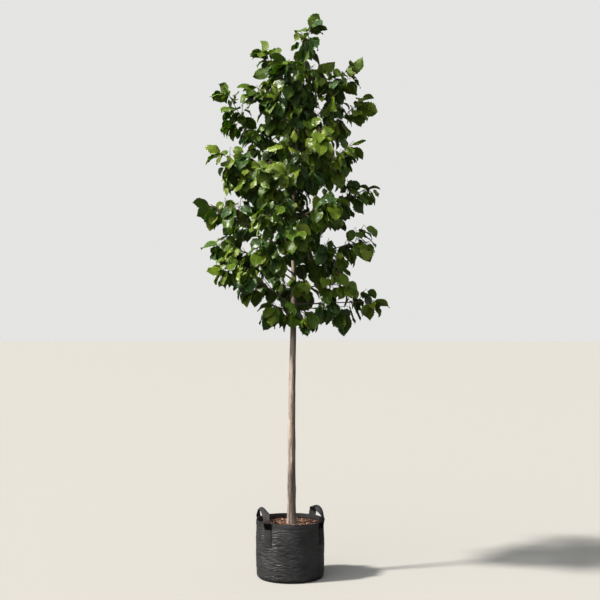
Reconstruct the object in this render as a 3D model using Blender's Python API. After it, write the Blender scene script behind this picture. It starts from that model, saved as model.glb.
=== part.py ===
"""A young broadleaf tree with its root ball in a fabric planter bag, each real piece as its own solid.

Units are metres, +Z is up and the front is towards -Y. The origin is the centre of the bag's flat underside.
The bag stands on that underside, the soil fills it, the trunk stands on the soil and runs up through the
crown to its tip, the boughs leave the trunk, and each mass of foliage goes on from one bough or one spot
of the trunk. Neighbouring solids keep a gap of 0.3 mm.
"""

import math
import random

import bmesh
import bpy
from mathutils import Quaternion, Vector
from mathutils.bvhtree import BVHTree

GAP = 0.0003
UP = Vector((0, 0, 1))
GOLDEN_TURN = math.radians(137.5)

# Planter bag and soil
BAG_RADIUS = 0.187
BAG_HEIGHT = 0.315
BAG_CORNER = 0.022
BAG_BULGE = 0.003
BAG_WALL = 0.003
HEM_HEIGHT = 0.024
HEM_PROUD = 0.0012
BAG_SIDES = 32
SOIL_LEVEL = 0.290
SOIL_DISH = 0.007
TRUNK_SEAT = 0.036

# Handle straps, sewn to the outside of the bag
STRAP_WIDTH = 0.048
STRAP_THICK = 0.0024
STRAP_END = 0.190
STRAP_LEAVES_BAG = 0.318
STRAP_LEG = 0.30
STRAP_SAG = 0.0005
HANDLE_TOP = 0.381
HANDLE_LEAN = 0.034
HANDLE_ROUND = 0.95
STRAP_SEWN_TO = 0.276
STRAP_BULGE = 0.010
ARCH_REACH = 0.88
HANDLE_SPREAD = math.radians(37.5)
HANDLE_TURN = math.radians(13)
STRAP_STATIONS = 24

# Trunk
TRUNK_TOP = 2.790
TRUNK_RADIUS = 0.0240
TRUNK_TIP_RADIUS = 0.0050
FLARE = 0.0050
FLARE_HEIGHT = 0.030
TRUNK_SIDES = 10
TRUNK_RINGS = 28

# Boughs and the stems that carry on from them
LEADER_TOP = 3.000
BOUGH_SHARE = 0.36
BOUGH_TIP_RADIUS = 0.0017
COLLAR = 0.5
COLLAR_LENGTH = 0.014
BARE_REACH = 0.105
SHORT_BOUGH = 0.37
BOUGH_SIDES = 6
STEM_SIDES = 4
RING_SPACING = 0.075

# Foliage
NODE_SPACING = 0.036
TWIG_EVERY = 2
TWIG_LENGTH = 0.115
TWIG_ANGLE = math.radians(52)
TWIG_RADIUS = 0.0026
TWIG_LEAVES = 3
LEAF_LENGTH = 0.124
LEAF_WIDTH = 0.092
LEAF_FOLD = 0.0065
LEAF_SINK = 0.0026
OLD_LEAF_FALL = math.radians(74)
YOUNG_LEAF_FALL = math.radians(62)
YOUNG_LEAF_LIFT = math.radians(65)
TIP_LEADS = (0.65, 0.0, 0.0)
LEAF_TRIES = 6
MASS_RADIUS = 0.225
SPACE_SLACK = 0.035

# Each bough: name, height of its foot on the trunk, then its tip across, back and up, and the share of its
# climb that it has made half-way out. Under a half it sweeps up, over a half it arches over.
BOUGHS = (
    ("front_foot", 1.385, 0.072, -0.100, 1.460, 0.70),
    ("left_skirt", 1.420, -0.085, -0.085, 1.480, 0.85),
    ("left_low_front", 1.465, -0.345, -0.140, 1.680, 0.82),
    ("right_low", 1.490, 0.450, 0.020, 1.508, 0.35),
    ("back_low", 1.535, 0.020, 0.300, 1.605, 0.60),
    ("right_low_front", 1.575, 0.290, -0.170, 1.600, 0.65),
    ("left_low", 1.620, -0.390, 0.060, 1.825, 0.75),
    ("front_low_left", 1.655, -0.170, -0.260, 1.775, 0.60),
    ("right_mid_low", 1.695, 0.422, -0.050, 1.830, 0.88),
    ("back_low_right", 1.730, 0.255, 0.280, 1.750, 0.70),
    ("left_mid", 1.765, -0.430, 0.000, 2.035, 0.50),
    ("front_mid", 1.800, 0.030, -0.350, 1.850, 0.80),
    ("front_left", 1.840, -0.140, -0.340, 1.960, 0.75),
    ("back_mid", 1.875, 0.110, 0.440, 1.905, 0.70),
    ("right_mid", 1.915, 0.405, 0.060, 2.125, 0.50),
    ("back_left", 2.055, -0.170, 0.410, 2.090, 0.70),
    ("front_left_high", 1.985, -0.130, -0.310, 2.190, 0.65),
    ("left_high_front", 2.020, -0.365, -0.090, 2.305, 0.45),
    ("front_right", 1.950, 0.220, -0.275, 2.025, 0.60),
    ("right_high_front", 2.090, 0.305, -0.120, 2.335, 0.50),
    ("front_high", 2.125, -0.010, -0.250, 2.350, 0.50),
    ("front_inner", 2.180, 0.050, -0.190, 2.240, 0.60),
    ("left_high", 2.145, -0.345, 0.060, 2.665, 0.30),
    ("left_high_back", 2.210, -0.345, 0.150, 2.200, 0.75),
    ("front_right_high", 2.235, 0.160, -0.260, 2.350, 0.60),
    ("back_right_high", 2.270, 0.200, 0.350, 2.305, 0.70),
    ("back_left_high", 2.305, -0.120, 0.320, 2.390, 0.65),
    ("right_high", 2.340, 0.375, 0.080, 2.610, 0.38),
    ("right_top", 2.395, 0.305, -0.020, 2.770, 0.38),
    ("left_inner_top", 2.430, -0.180, -0.120, 2.630, 0.55),
    ("left_top", 2.470, -0.135, 0.050, 2.885, 0.35),
    ("back_top", 2.510, 0.085, 0.200, 2.655, 0.50),
    ("front_top", 2.600, -0.020, -0.090, 2.770, 0.50),
    ("right_inner_top", 2.680, 0.145, 0.045, 2.790, 0.45),
)


def clear_scene():
    for old in list(bpy.data.objects):
        bpy.data.objects.remove(old)


def material(name, colour, roughness, metallic=0.0):
    made = bpy.data.materials.new(name)
    made.use_nodes = True
    shader = made.node_tree.nodes["Principled BSDF"]
    shader.inputs["Base Color"].default_value = (*colour, 1)
    shader.inputs["Roughness"].default_value = roughness
    shader.inputs["Metallic"].default_value = metallic
    return made


def add_object(name, mesh_data, finish, smooth_angle=None):
    """An object from a bmesh, which it frees. smooth_angle rounds the shading of edges flatter than that."""
    bmesh.ops.recalc_face_normals(mesh_data, faces=mesh_data.faces)
    mesh = bpy.data.meshes.new(name)
    mesh_data.to_mesh(mesh)
    mesh_data.free()
    mesh.materials.append(finish)
    if smooth_angle:
        mesh.shade_smooth()
        mesh.set_sharp_from_angle(angle=smooth_angle)
    made = bpy.data.objects.new(name, mesh)
    bpy.context.scene.collection.objects.link(made)
    return made


def loft(rings):
    """A closed bmesh through rings of points that all have the same count, with a face on each end."""
    mesh = bmesh.new()
    loops = [[mesh.verts.new(point) for point in ring] for ring in rings]
    count = len(rings[0])
    for lower, upper in zip(loops, loops[1:]):
        for i in range(count):
            j = (i + 1) % count
            mesh.faces.new((lower[i], lower[j], upper[j], upper[i]))
    mesh.faces.new(loops[0][::-1])
    mesh.faces.new(loops[-1])
    return mesh


def turned(profile, sides):
    """A closed bmesh of a profile of (radius, height) points turned about the Z axis."""
    mesh = bmesh.new()
    verts = [mesh.verts.new((radius, 0, height)) for radius, height in profile]
    edges = [mesh.edges.new(pair) for pair in zip(verts, verts[1:])]
    bmesh.ops.spin(
        mesh,
        geom=verts + edges,
        axis=UP,
        cent=(0, 0, 0),
        steps=sides,
        angle=2 * math.pi,
        use_duplicate=False,
    )
    bmesh.ops.remove_doubles(mesh, verts=mesh.verts, dist=1e-5)
    return mesh


def ring_points(centre, along, radius, sides):
    """Points of a circle about centre, square to the direction along."""
    side = along.cross(Vector((0.31, 0.95, 0.05))).normalized()
    other = along.cross(side)
    turns = (2 * math.pi * i / sides for i in range(sides))
    return [centre + radius * (math.cos(a) * side + math.sin(a) * other) for a in turns]


# ---------------------------------------------------------------- bag, soil and handles


def bag_radius(height):
    """The bag's outer radius: a little full at half height, and a thicker hem at the rim."""
    bulge = BAG_BULGE * math.sin(math.pi * min(height / BAG_HEIGHT, 1))
    hem = HEM_PROUD if height > BAG_HEIGHT - HEM_HEIGHT else 0
    return BAG_RADIUS - BAG_BULGE + bulge + hem


def corner(radius, height, size, steps=3):
    """A quarter round from the flat underside at (radius - size, height) up to the side."""
    angles = (math.pi / 2 * i / steps for i in range(steps + 1))
    return [
        (radius - size + size * math.sin(a), height + size - size * math.cos(a))
        for a in angles
    ]


def side_heights(low, high, step=0.068):
    count = max(1, round((high - low) / step))
    return [low + (high - low) * i / count for i in range(1, count + 1)]


def bag_and_soil(fabric, earth):
    hem_foot = BAG_HEIGHT - HEM_HEIGHT
    outside = [(0, 0)] + corner(bag_radius(BAG_CORNER), 0, BAG_CORNER)
    outside += [(bag_radius(z), z) for z in side_heights(BAG_CORNER, hem_foot)]
    rim_radius = bag_radius(BAG_HEIGHT)
    rim = [
        (rim_radius, hem_foot + HEM_PROUD),
        (rim_radius, BAG_HEIGHT - 0.001),
        (rim_radius - 0.001, BAG_HEIGHT),
        (rim_radius - 2 * HEM_PROUD - BAG_WALL, BAG_HEIGHT),
    ]

    def inner(inset):
        """The inside of the wall, set in by inset, from the middle of the floor up to the hem's foot."""
        floor = [(0, inset)]
        turn = corner(bag_radius(BAG_CORNER) - inset, inset, BAG_CORNER - inset / 2)
        side = [
            (bag_radius(z) - inset, z) for z in side_heights(BAG_CORNER + inset, hem_foot)
        ]
        return floor + turn + side

    bag = outside + rim + inner(BAG_WALL)[::-1]
    add_object("planter_bag", turned(bag, BAG_SIDES), fabric, math.radians(40))

    wall = [p for p in inner(BAG_WALL + GAP) if p[1] < SOIL_LEVEL - SOIL_DISH]
    edge = (bag_radius(SOIL_LEVEL) - BAG_WALL - GAP, SOIL_LEVEL - SOIL_DISH)
    mound = [
        (BAG_RADIUS * 0.62, SOIL_LEVEL - 0.35 * SOIL_DISH),
        (TRUNK_SEAT, SOIL_LEVEL),
        (0, SOIL_LEVEL),
    ]
    add_object("soil", turned(wall + [edge] + mound, BAG_SIDES), earth, math.radians(40))


def strap_stance(height):
    """How far from the bag's axis a strap's middle runs where it lies on the bag, over the hem too."""
    over_hem = height > BAG_HEIGHT - HEM_HEIGHT - 0.012
    under = bag_radius(BAG_HEIGHT) if over_hem else bag_radius(height)
    return under + GAP + STRAP_SAG + STRAP_THICK / 2


def strap_centre(side_angle, t):
    """(angle round the bag, height) of a strap's middle, with t from 0 at one sewn end to 1 at the other."""
    leg = (STRAP_LEAVES_BAG - STRAP_END) / STRAP_LEG
    if t < STRAP_LEG:
        return side_angle - HANDLE_SPREAD, STRAP_END + leg * t
    if t > 1 - STRAP_LEG:
        return side_angle + HANDLE_SPREAD, STRAP_END + leg * (1 - t)
    turn = math.pi * (t - STRAP_LEG) / (1 - 2 * STRAP_LEG)
    rise = math.sin(turn) ** HANDLE_ROUND
    spread = -math.cos(turn) * HANDLE_SPREAD
    return side_angle + spread, STRAP_LEAVES_BAG + rise * (HANDLE_TOP - STRAP_LEAVES_BAG)


def handle(name, side_angle, webbing):
    """A flat strap, sewn up the bag, over in an arch and sewn down again.

    Above the last stitches it stands off the bag a little. Above the rim it twists, so that its outer face
    looks up at the top, and leans in over the soil.
    """
    free_from = BAG_HEIGHT + 0.016
    centres = []
    for i in range(STRAP_STATIONS + 1):
        angle, height = strap_centre(side_angle, i / STRAP_STATIONS)
        free = max(0, height - free_from) / (HANDLE_TOP - free_from)
        loose = max(0, height - STRAP_SEWN_TO) / (HANDLE_TOP - STRAP_SEWN_TO)
        radius = strap_stance(height) + STRAP_BULGE * math.sin(math.pi * loose) ** 2
        radius -= HANDLE_LEAN * free**1.5
        centres.append(Vector((radius * math.cos(angle), radius * math.sin(angle), height)))
    reach = ARCH_REACH * bag_radius(BAG_HEIGHT)
    arch_centre = Vector((reach * math.cos(side_angle), reach * math.sin(side_angle), BAG_HEIGHT))
    rings = []
    for i, centre in enumerate(centres):
        before = centres[max(i - 1, 0)]
        after = centres[min(i + 1, STRAP_STATIONS)]
        along = (after - before).normalized()
        out = Vector((centre.x, centre.y, 0)).normalized()
        free = max(0, centre.z - free_from) / (HANDLE_TOP - free_from)
        face = out.lerp((centre - arch_centre).normalized(), free)
        face = (face - face.dot(along) * along).normalized()
        across = along.cross(face)
        bow = (1 - free) * (STRAP_WIDTH / 2) ** 2 / (2 * BAG_RADIUS)
        corners = ((-1, -1), (0, -1), (1, -1), (1, 1), (0, 1), (-1, 1))
        ring = [
            centre + across * (u * STRAP_WIDTH / 2) + face * (v * STRAP_THICK / 2 - abs(u) * bow)
            for u, v in corners
        ]
        rings.append(ring)
    add_object(name, loft(rings), webbing)


# ---------------------------------------------------------------- trunk and boughs


def trunk_centre(height):
    """The trunk stands nearly upright and its leader sweeps to the right near the top."""
    above_bag = height - SOIL_LEVEL
    sweep = max(0, (height - 1.90) / 1.20)
    across = 0.005 + 0.010 * above_bag + 0.085 * sweep**2 + 0.002 * math.sin(5.2 * height)
    back = 0.003 * math.sin(3.1 * height + 0.6)
    return Vector((across, back, height))


def trunk_radius(height):
    share = (height - SOIL_LEVEL) / (TRUNK_TOP - SOIL_LEVEL)
    flare = FLARE * math.exp(-(height - SOIL_LEVEL) / FLARE_HEIGHT)
    return TRUNK_RADIUS + (TRUNK_TIP_RADIUS - TRUNK_RADIUS) * share + flare


def trunk_mesh(extra=0.0):
    """The trunk, or with extra the same shape that much fatter, which cuts what grows from it."""
    foot = SOIL_LEVEL + GAP
    heights = [foot, foot + 0.4 * FLARE_HEIGHT, foot + FLARE_HEIGHT]
    rest = TRUNK_RINGS - len(heights)
    start = foot + 3 * FLARE_HEIGHT
    heights += [start + (TRUNK_TOP - start) * i / rest for i in range(rest + 1)]
    rings = [
        ring_points(trunk_centre(z), UP, trunk_radius(z) + extra, TRUNK_SIDES)
        for z in heights
    ]
    return loft(rings)


class Bough:
    """One limb's line, from the trunk's centre to its tip. The first part is bare, the rest bears leaves."""

    twiggy = True

    def __init__(self, name, foot, across, back, up, climb):
        self.name = name
        self.start = trunk_centre(foot)
        self.end = Vector((across, back, up))
        way = self.end - self.start
        self.bend = self.start + Vector((way.x / 2, way.y / 2, way.z * climb))
        self.length = sum(
            (self.at((i + 1) / 20) - self.at(i / 20)).length for i in range(20)
        )
        self.foot_radius = trunk_radius(foot) * BOUGH_SHARE
        self.bare = 0.0 if self.length < SHORT_BOUGH else BARE_REACH / self.length
        inner = 0.8 * self.bare
        self.spots = [self.at(inner + (1 - inner) * i / 12) for i in range(13)]

    def distance(self, point):
        """From a point to the leafy part of this line."""
        return min((point - spot).length for spot in self.spots)

    def at(self, t):
        return (
            self.start * (1 - t) ** 2 + self.bend * 2 * t * (1 - t) + self.end * t**2
        )

    def along(self, t):
        return (
            (self.bend - self.start) * (1 - t) + (self.end - self.bend) * t
        ).normalized()

    def radius(self, t):
        collar = COLLAR * math.exp(-t * self.length / COLLAR_LENGTH)
        taper = self.foot_radius + (BOUGH_TIP_RADIUS - self.foot_radius) * t**0.7
        return taper * (1 + collar)

    def tube(self, low, high, sides):
        """The limb between two shares of its line, as a tapering tube."""
        count = max(2, round((high - low) * self.length / RING_SPACING))
        shares = [low + (high - low) * i / count for i in range(count + 1)]
        return loft(
            [ring_points(self.at(t), self.along(t), self.radius(t), sides) for t in shares]
        )


class Leader(Bough):
    """The last of the trunk's line, above the trunk's flat tip. The top mass has leaves and no twigs."""

    twiggy = False

    def __init__(self):
        tip = trunk_centre(LEADER_TOP)
        super().__init__("leader", TRUNK_TOP + GAP, tip.x, tip.y, tip.z, 0.5)
        self.foot_radius = TRUNK_TIP_RADIUS
        self.bare = 0.0

    def along(self, t):
        return super().along(t) if t else UP.copy()

    def radius(self, t):
        return self.foot_radius + (BOUGH_TIP_RADIUS - self.foot_radius) * t


def cut_by_trunk(limb):
    """Ends a limb just clear of the trunk's surface."""
    finish = limb.data.materials[0]
    cutter = add_object("trunk_cutter", trunk_mesh(extra=GAP), finish)
    modifier = limb.modifiers.new("seat", "BOOLEAN")
    modifier.operation = "DIFFERENCE"
    modifier.solver = "EXACT"
    modifier.object = cutter
    apply_modifiers(limb)
    bpy.data.objects.remove(cutter)


def apply_modifiers(obj):
    graph = bpy.context.evaluated_depsgraph_get()
    made = bpy.data.meshes.new_from_object(obj.evaluated_get(graph))
    obj.modifiers.clear()
    obj.data = made


def keep_main_body(obj):
    """Drops loose scraps and the walls of sealed hollows: everything but the body with the most faces."""
    mesh = bmesh.new()
    mesh.from_mesh(obj.data)
    bodies = []
    unseen = set(mesh.verts)
    while unseen:
        body = {unseen.pop()}
        edge = set(body)
        while edge:
            edge = {e.other_vert(v) for v in edge for e in v.link_edges} - body
            body |= edge
        unseen -= body
        bodies.append(body)
    main = max(bodies, key=len)
    rest = [v for v in mesh.verts if v not in main]
    bmesh.ops.delete(mesh, geom=rest, context="VERTS")
    mesh.to_mesh(obj.data)
    mesh.free()


# ---------------------------------------------------------------- foliage


def leaf_shape(root, along, face, length, grow=0.0):
    """Points and faces of one leaf: an ovate blade on a narrow foot, folded under its midrib.

    grow makes it that much larger all round, to test that a leaf is clear of what is near it.
    """
    across = along.cross(face).normalized()
    face = across.cross(along)
    scale = length / LEAF_LENGTH
    half = LEAF_WIDTH * scale / 2 + grow
    fold = LEAF_FOLD * scale + grow

    def place(u, v, lift):
        return root + across * (u * half) + along * (v * length) + face * lift

    points = [
        place(0, -grow / length, -grow),
        place(-0.84, 0.34, fold),
        place(-0.96, 0.62, 0.8 * fold),
        place(0, 1 + grow / length, -grow),
        place(0.96, 0.62, 0.8 * fold),
        place(0.84, 0.34, fold),
    ]
    upper = [(0, 5, 1), (1, 5, 4), (1, 4, 2), (2, 4, 3)]
    under = [(0, 1, 3), (1, 2, 3), (0, 3, 5), (3, 4, 5)]
    return points, upper + under


def leaf_direction(radial, outward, share, climb):
    """A leaf's way. share is 0 at a shoot's foot, where leaves hang, and 1 at its tip.

    There they stand on a shoot that climbs and still nod on a level one.
    """
    flat = Vector((radial.x, radial.y, 0)) + 0.40 * outward
    flat = flat.normalized() if flat.length > 1e-6 else outward
    young = YOUNG_LEAF_FALL - max(0, climb) ** 1.5 * YOUNG_LEAF_LIFT
    fall = OLD_LEAF_FALL + (young - OLD_LEAF_FALL) * share**1.5
    return flat * math.cos(fall) - UP * math.sin(fall)


class Neighbours:
    """What stands already, to keep each leaf and twig clear of everything but the twig that it grows from."""

    def __init__(self):
        self.trees = []

    def add(self, points, faces, owner):
        low = [min(p[i] for p in points) for i in range(3)]
        high = [max(p[i] for p in points) for i in range(3)]
        tree = BVHTree.FromPolygons([tuple(p) for p in points], faces)
        self.trees.append((low, high, tree, owner))

    def add_mesh(self, mesh, owner):
        mesh.verts.index_update()
        points = [v.co.copy() for v in mesh.verts]
        self.add(points, [[v.index for v in f.verts] for f in mesh.faces], owner)

    def clear(self, points, faces, owner):
        low = [min(p[i] for p in points) for i in range(3)]
        high = [max(p[i] for p in points) for i in range(3)]
        tree = None
        for other_low, other_high, other, whose in self.trees:
            if whose == owner or any(
                low[i] > other_high[i] or high[i] < other_low[i] for i in range(3)
            ):
                continue
            tree = tree or BVHTree.FromPolygons([tuple(p) for p in points], faces)
            if tree.overlap(other):
                return False
        return True


class Mass:
    """The foliage that goes on from one bough: its stem, the twigs on it and their leaves."""

    def __init__(self, bough, others, neighbours, seed):
        self.bough = bough
        self.others = others
        self.neighbours = neighbours
        self.chance = random.Random(seed)
        self.pieces = []

    def in_own_space(self, points):
        """Whether every point is within reach of this bough's line and not deep in another's space."""
        for point in points:
            own = self.bough.distance(point)
            if own > MASS_RADIUS:
                return False
            for other in self.others:
                if other.distance(point) < own - SPACE_SLACK:
                    return False
        return True

    def add_leaf(self, spot, radius, radial, share, limb, owner, lead=0.0):
        """A leaf from the limb at spot, turned and shrunk a little until it stands clear, or else left out.

        limb is the limb's own way, and lead is how far the leaf follows it.
        """
        outward = Vector((spot.x, spot.y, 0))
        outward = outward.normalized() if outward.length > 0.02 else Vector((radial.x, radial.y, 0))
        size = self.chance.uniform(0.90, 1.08)
        for attempt in range(LEAF_TRIES):
            turn = self.chance.uniform(-0.30, 0.30) + (0.45 * attempt) * (-1) ** attempt
            spun = radial.copy()
            spun.rotate(Quaternion(UP, turn))
            along = leaf_direction(spun, outward, share, limb.z)
            along = along.lerp(limb, lead).normalized()
            loose = Vector([self.chance.uniform(-0.8, 0.8) for _ in range(3)])
            face = UP * 0.4 + outward * 0.3 + radial * 0.3 + loose
            length = LEAF_LENGTH * size * (1 - 0.03 * attempt)
            root = spot + along * max(0, radius - LEAF_SINK)
            test, faces = leaf_shape(root, along, face, length, grow=0.0008)
            if not self.in_own_space(test[1:]):
                continue
            if not self.neighbours.clear(test, faces, owner):
                continue
            points, faces = leaf_shape(root, along, face, length)
            self.neighbours.add(points, faces, owner=None)
            self.pieces.append((points, faces))
            return

    def add_twig(self, root, along, length, number):
        """One three-sided twig, drawn out to a point, with leaves to either side and near its tip."""
        owner = (self.bough.name, number)
        tip = root + along * length
        faces = [(0, 2, 1), (0, 1, 3), (1, 2, 3), (2, 0, 3)]
        test = ring_points(root, along, TWIG_RADIUS + 0.0008, 3) + [tip + along * 0.0008]
        if not self.in_own_space(test[3:]):
            return False
        if not self.neighbours.clear(test, faces, (self.bough.name, "stem")):
            return False
        points = ring_points(root, along, TWIG_RADIUS, 3) + [tip]
        self.neighbours.add(points, faces, owner)
        self.pieces.append((points, faces))
        side = along.cross(UP)
        side = side.normalized() if side.length > 0.1 else Vector((1, 0, 0))
        side.rotate(Quaternion(along, self.chance.uniform(-0.6, 0.6)))
        for i in range(TWIG_LEAVES):
            share = (i + 1) / TWIG_LEAVES
            spot = root + along * length * (0.20 + 0.68 * share)
            radial = side * (-1) ** i + along * (1.2 if share == 1 else 0.4)
            self.add_leaf(spot, 0, radial.normalized(), 0.6 * share, along, owner)
        return True

    def grow(self):
        bough = self.bough
        stem_owner = (bough.name, "stem")
        first = max(bough.bare * bough.length, 0.02) + NODE_SPACING * 0.6
        count = max(2, round((bough.length - first) / NODE_SPACING))
        for i in range(count):
            share = i / count
            t = (first + (bough.length - first) * share) / bough.length
            spot = bough.at(t)
            along = bough.along(t)
            side = along.cross(UP)
            side = side.normalized() if side.length > 0.1 else Vector((1, 0, 0))
            turn = GOLDEN_TURN * i + self.chance.uniform(-0.3, 0.3)
            radial = side * math.cos(turn) + side.cross(along) * math.sin(turn)
            if bough.twiggy and i % TWIG_EVERY == 0 and share < 0.8:
                way = along * math.cos(TWIG_ANGLE) + radial * math.sin(TWIG_ANGLE)
                way = (way + UP * 0.25).normalized()
                length = TWIG_LENGTH * (1 - 0.45 * share) * self.chance.uniform(0.8, 1.15)
                if self.add_twig(spot, way, length, i):
                    continue
            self.add_leaf(spot, bough.radius(t), radial, share, along, stem_owner)
        end = bough.along(1)
        spot = bough.at(1) - end * 0.003
        start = self.chance.uniform(0, 2)
        for i, lead in enumerate(TIP_LEADS):
            turn = start + i * 2 * math.pi / len(TIP_LEADS)
            side = Vector((math.cos(turn), math.sin(turn), 0))
            self.add_leaf(spot, 0, (side + end).normalized(), 1, end, stem_owner, lead)

    def fuse(self, wood_and_leaf):
        """One solid: the stem, with every twig and leaf joined to it."""
        low = self.bough.bare + GAP / self.bough.length if self.bough.bare else 0.0
        stem_mesh = self.bough.tube(low, 1, STEM_SIDES)
        stem = add_object("foliage_" + self.bough.name, stem_mesh, wood_and_leaf)
        loose = bpy.data.collections.new("loose")
        bpy.context.scene.collection.children.link(loose)
        for number, (points, faces) in enumerate(self.pieces):
            mesh = bpy.data.meshes.new("sprig")
            mesh.from_pydata([tuple(p) for p in points], [], faces)
            loose.objects.link(bpy.data.objects.new(f"sprig_{number}", mesh))
        modifier = stem.modifiers.new("join", "BOOLEAN")
        modifier.operation = "UNION"
        modifier.solver = "EXACT"
        modifier.operand_type = "COLLECTION"
        modifier.collection = loose
        apply_modifiers(stem)
        for sprig in list(loose.objects):
            bpy.data.objects.remove(sprig)
        bpy.data.collections.remove(loose)
        if not self.bough.bare and self.bough.name != "leader":
            cut_by_trunk(stem)
        keep_main_body(stem)


def tree(bark, leaf):
    add_object("trunk", trunk_mesh(), bark, math.radians(50))
    boughs = [Bough(*row) for row in BOUGHS]
    boughs.append(Leader())
    neighbours = Neighbours()
    fat_trunk = trunk_mesh(extra=0.001)
    neighbours.add_mesh(fat_trunk, "trunk")
    fat_trunk.free()
    for bough in boughs:
        limb = bough.tube(0.0, 1.0, BOUGH_SIDES)
        neighbours.add_mesh(limb, (bough.name, "stem"))
        limb.free()
        if bough.bare:
            piece = add_object(
                "bough_" + bough.name,
                bough.tube(0.0, bough.bare, BOUGH_SIDES),
                bark,
                math.radians(50),
            )
            cut_by_trunk(piece)
    for seed, bough in enumerate(boughs):
        others = [other for other in boughs if other is not bough]
        mass = Mass(bough, others, neighbours, seed)
        mass.grow()
        mass.fuse(leaf)


def main():
    clear_scene()
    fabric = material("black_woven_fabric", (0.018, 0.019, 0.021), 0.45)
    webbing = material("black_webbing", (0.014, 0.014, 0.016), 0.60)
    earth = material("bark_mulch", (0.150, 0.075, 0.045), 0.95)
    bark = material("grey_brown_bark", (0.130, 0.105, 0.090), 0.80)
    leaf = material("green_leaf", (0.035, 0.085, 0.012), 0.40)
    bag_and_soil(fabric, earth)
    handle("handle_left", math.pi + HANDLE_TURN, webbing)
    handle("handle_right", HANDLE_TURN, webbing)
    tree(bark, leaf)


main()
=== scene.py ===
"""The looks of a young broadleaf tree in a woven planter bag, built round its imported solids.

Metres, +Z up, the front towards -Y. The origin is the centre of the bag's flat underside. The limbs follow
the same lines as the solids. Leaves and twigs grow on from them by the same seeded rule, carried on to
finer twigs and to leaves of the real size.
"""

import random
from collections import namedtuple
from math import atan, atan2, ceil, cos, exp, pi, radians, sin, sqrt, tau

import bpy
import numpy as np
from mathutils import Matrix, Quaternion, Vector, noise
from mathutils.bvhtree import BVHTree


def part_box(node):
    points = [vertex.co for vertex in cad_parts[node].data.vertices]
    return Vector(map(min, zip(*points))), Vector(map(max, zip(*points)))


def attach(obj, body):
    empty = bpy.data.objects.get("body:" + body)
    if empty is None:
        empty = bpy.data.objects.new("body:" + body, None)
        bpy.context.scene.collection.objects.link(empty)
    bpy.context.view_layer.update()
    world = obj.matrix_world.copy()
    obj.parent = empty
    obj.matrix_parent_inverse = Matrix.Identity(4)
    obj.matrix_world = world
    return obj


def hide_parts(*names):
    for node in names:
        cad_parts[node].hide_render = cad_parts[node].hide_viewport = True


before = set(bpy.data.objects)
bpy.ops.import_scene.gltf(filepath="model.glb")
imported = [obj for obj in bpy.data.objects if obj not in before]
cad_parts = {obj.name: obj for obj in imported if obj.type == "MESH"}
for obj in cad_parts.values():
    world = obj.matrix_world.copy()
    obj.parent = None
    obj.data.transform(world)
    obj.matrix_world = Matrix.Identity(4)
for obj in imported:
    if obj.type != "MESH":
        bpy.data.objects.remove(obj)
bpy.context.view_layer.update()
NODES = sorted(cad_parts)
GAP = 0.0003
UP = Vector((0, 0, 1))
GOLDEN_TURN = radians(137.5)

# Planter bag
BAG_RADIUS = 0.187
BAG_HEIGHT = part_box("planter_bag")[1].z
BAG_CORNER = 0.022
BAG_BULGE = 0.003
BAG_WALL = 0.0025
HEM_HEIGHT = 0.024
HEM_PROUD = 0.0012
BAG_COLUMNS = 360
BAG_ROWS = 160
RIM_WAVE = 0.0022
RIM_WAVE_REACH = 0.06
RIM_ROUND = 0.001

# How loose the bag's cloth is, from 0 to 1, past its plain side
HEM_SLACK = 0.45
RIM_SLACK = 0.35
INSIDE_SLACK = 0.2

# Creases and lumps in the cloth. Each pull crease: how far it starts under the hem, and its lean.
CREASES = 250
BROAD_CREASES = 60
SHARP_SHARE = 0.30
SHARP_SLOPES = (0.55, 0.95)
SOFT_SLOPES = (0.08, 0.26)
PULL_CREASES = ((0.020, 0.30), (0.050, 0.20), (0.088, -0.12))
SMOOTH_SIDE = radians(-48)
SMOOTH_REACH = radians(42)
SMOOTHED = 0.62
LUMPS = 0.0026
FOLDS = 0.0024
CLOTH_PROUD = 0.0007

# Mulch in the bag
SOIL_LEVEL = 0.290
SOIL_DISH = 0.007
SOIL_LUMPS = 0.0030
MULCH_DEPTH = 0.045
MULCH_ROWS = 46
MULCH_COLUMNS = 150
CHIPS = 1500
CHIP_SHARES = (4, 3.4, 1.8, 0.7)
CHIP_TILT = 0.28
CHIP_INSET = 0.008

# Handle straps, sewn to the outside of the bag
STRAP_WIDTH = 0.048
STRAP_THICK = 0.0024
STRAP_END = 0.190
STRAP_LEAVES_BAG = 0.318
STRAP_LEG = 0.30
STRAP_SAG = 0.0005
STRAP_SEWN_TO = 0.276
STRAP_BULGE = 0.010
STRAP_MARGIN = 0.004
STRAP_SOFT_EDGE = 0.0015
STRAP_END_MARGIN = 0.006
STRAP_SOFT_END = 0.002
STRAP_HOLD = 0.92
STRAP_CURL = 0.012
STRAP_NARROWS = 0.26
STRAP_BUCKLE = 0.0010
STRAP_MEETS_HEM = BAG_HEIGHT - HEM_HEIGHT - 0.012
STRAP_FREE_FROM = BAG_HEIGHT + 0.016
HANDLE_TOP = 0.381
HANDLE_LEAN = 0.034
HANDLE_ROUND = 0.95
HANDLE_SPREAD = radians(37.5)
HANDLE_TURN = radians(13)
HANDLES = (("strap_right", HANDLE_TURN), ("strap_left", pi + HANDLE_TURN))
STRAP_TURNS = [side + spread for _, side in HANDLES for spread in (-HANDLE_SPREAD, HANDLE_SPREAD)]
ARCH_REACH = 0.88
STRAP_STATIONS = 150
STRAP_COLUMNS = 9
# Painted shadow: the stretch of each strap just under the hem that takes a near-black finish, for the shade
# under its bulge
PAINTED_SHADOW_FOOT = 0.281
PAINTED_SHADOW_TOP = 0.315

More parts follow.
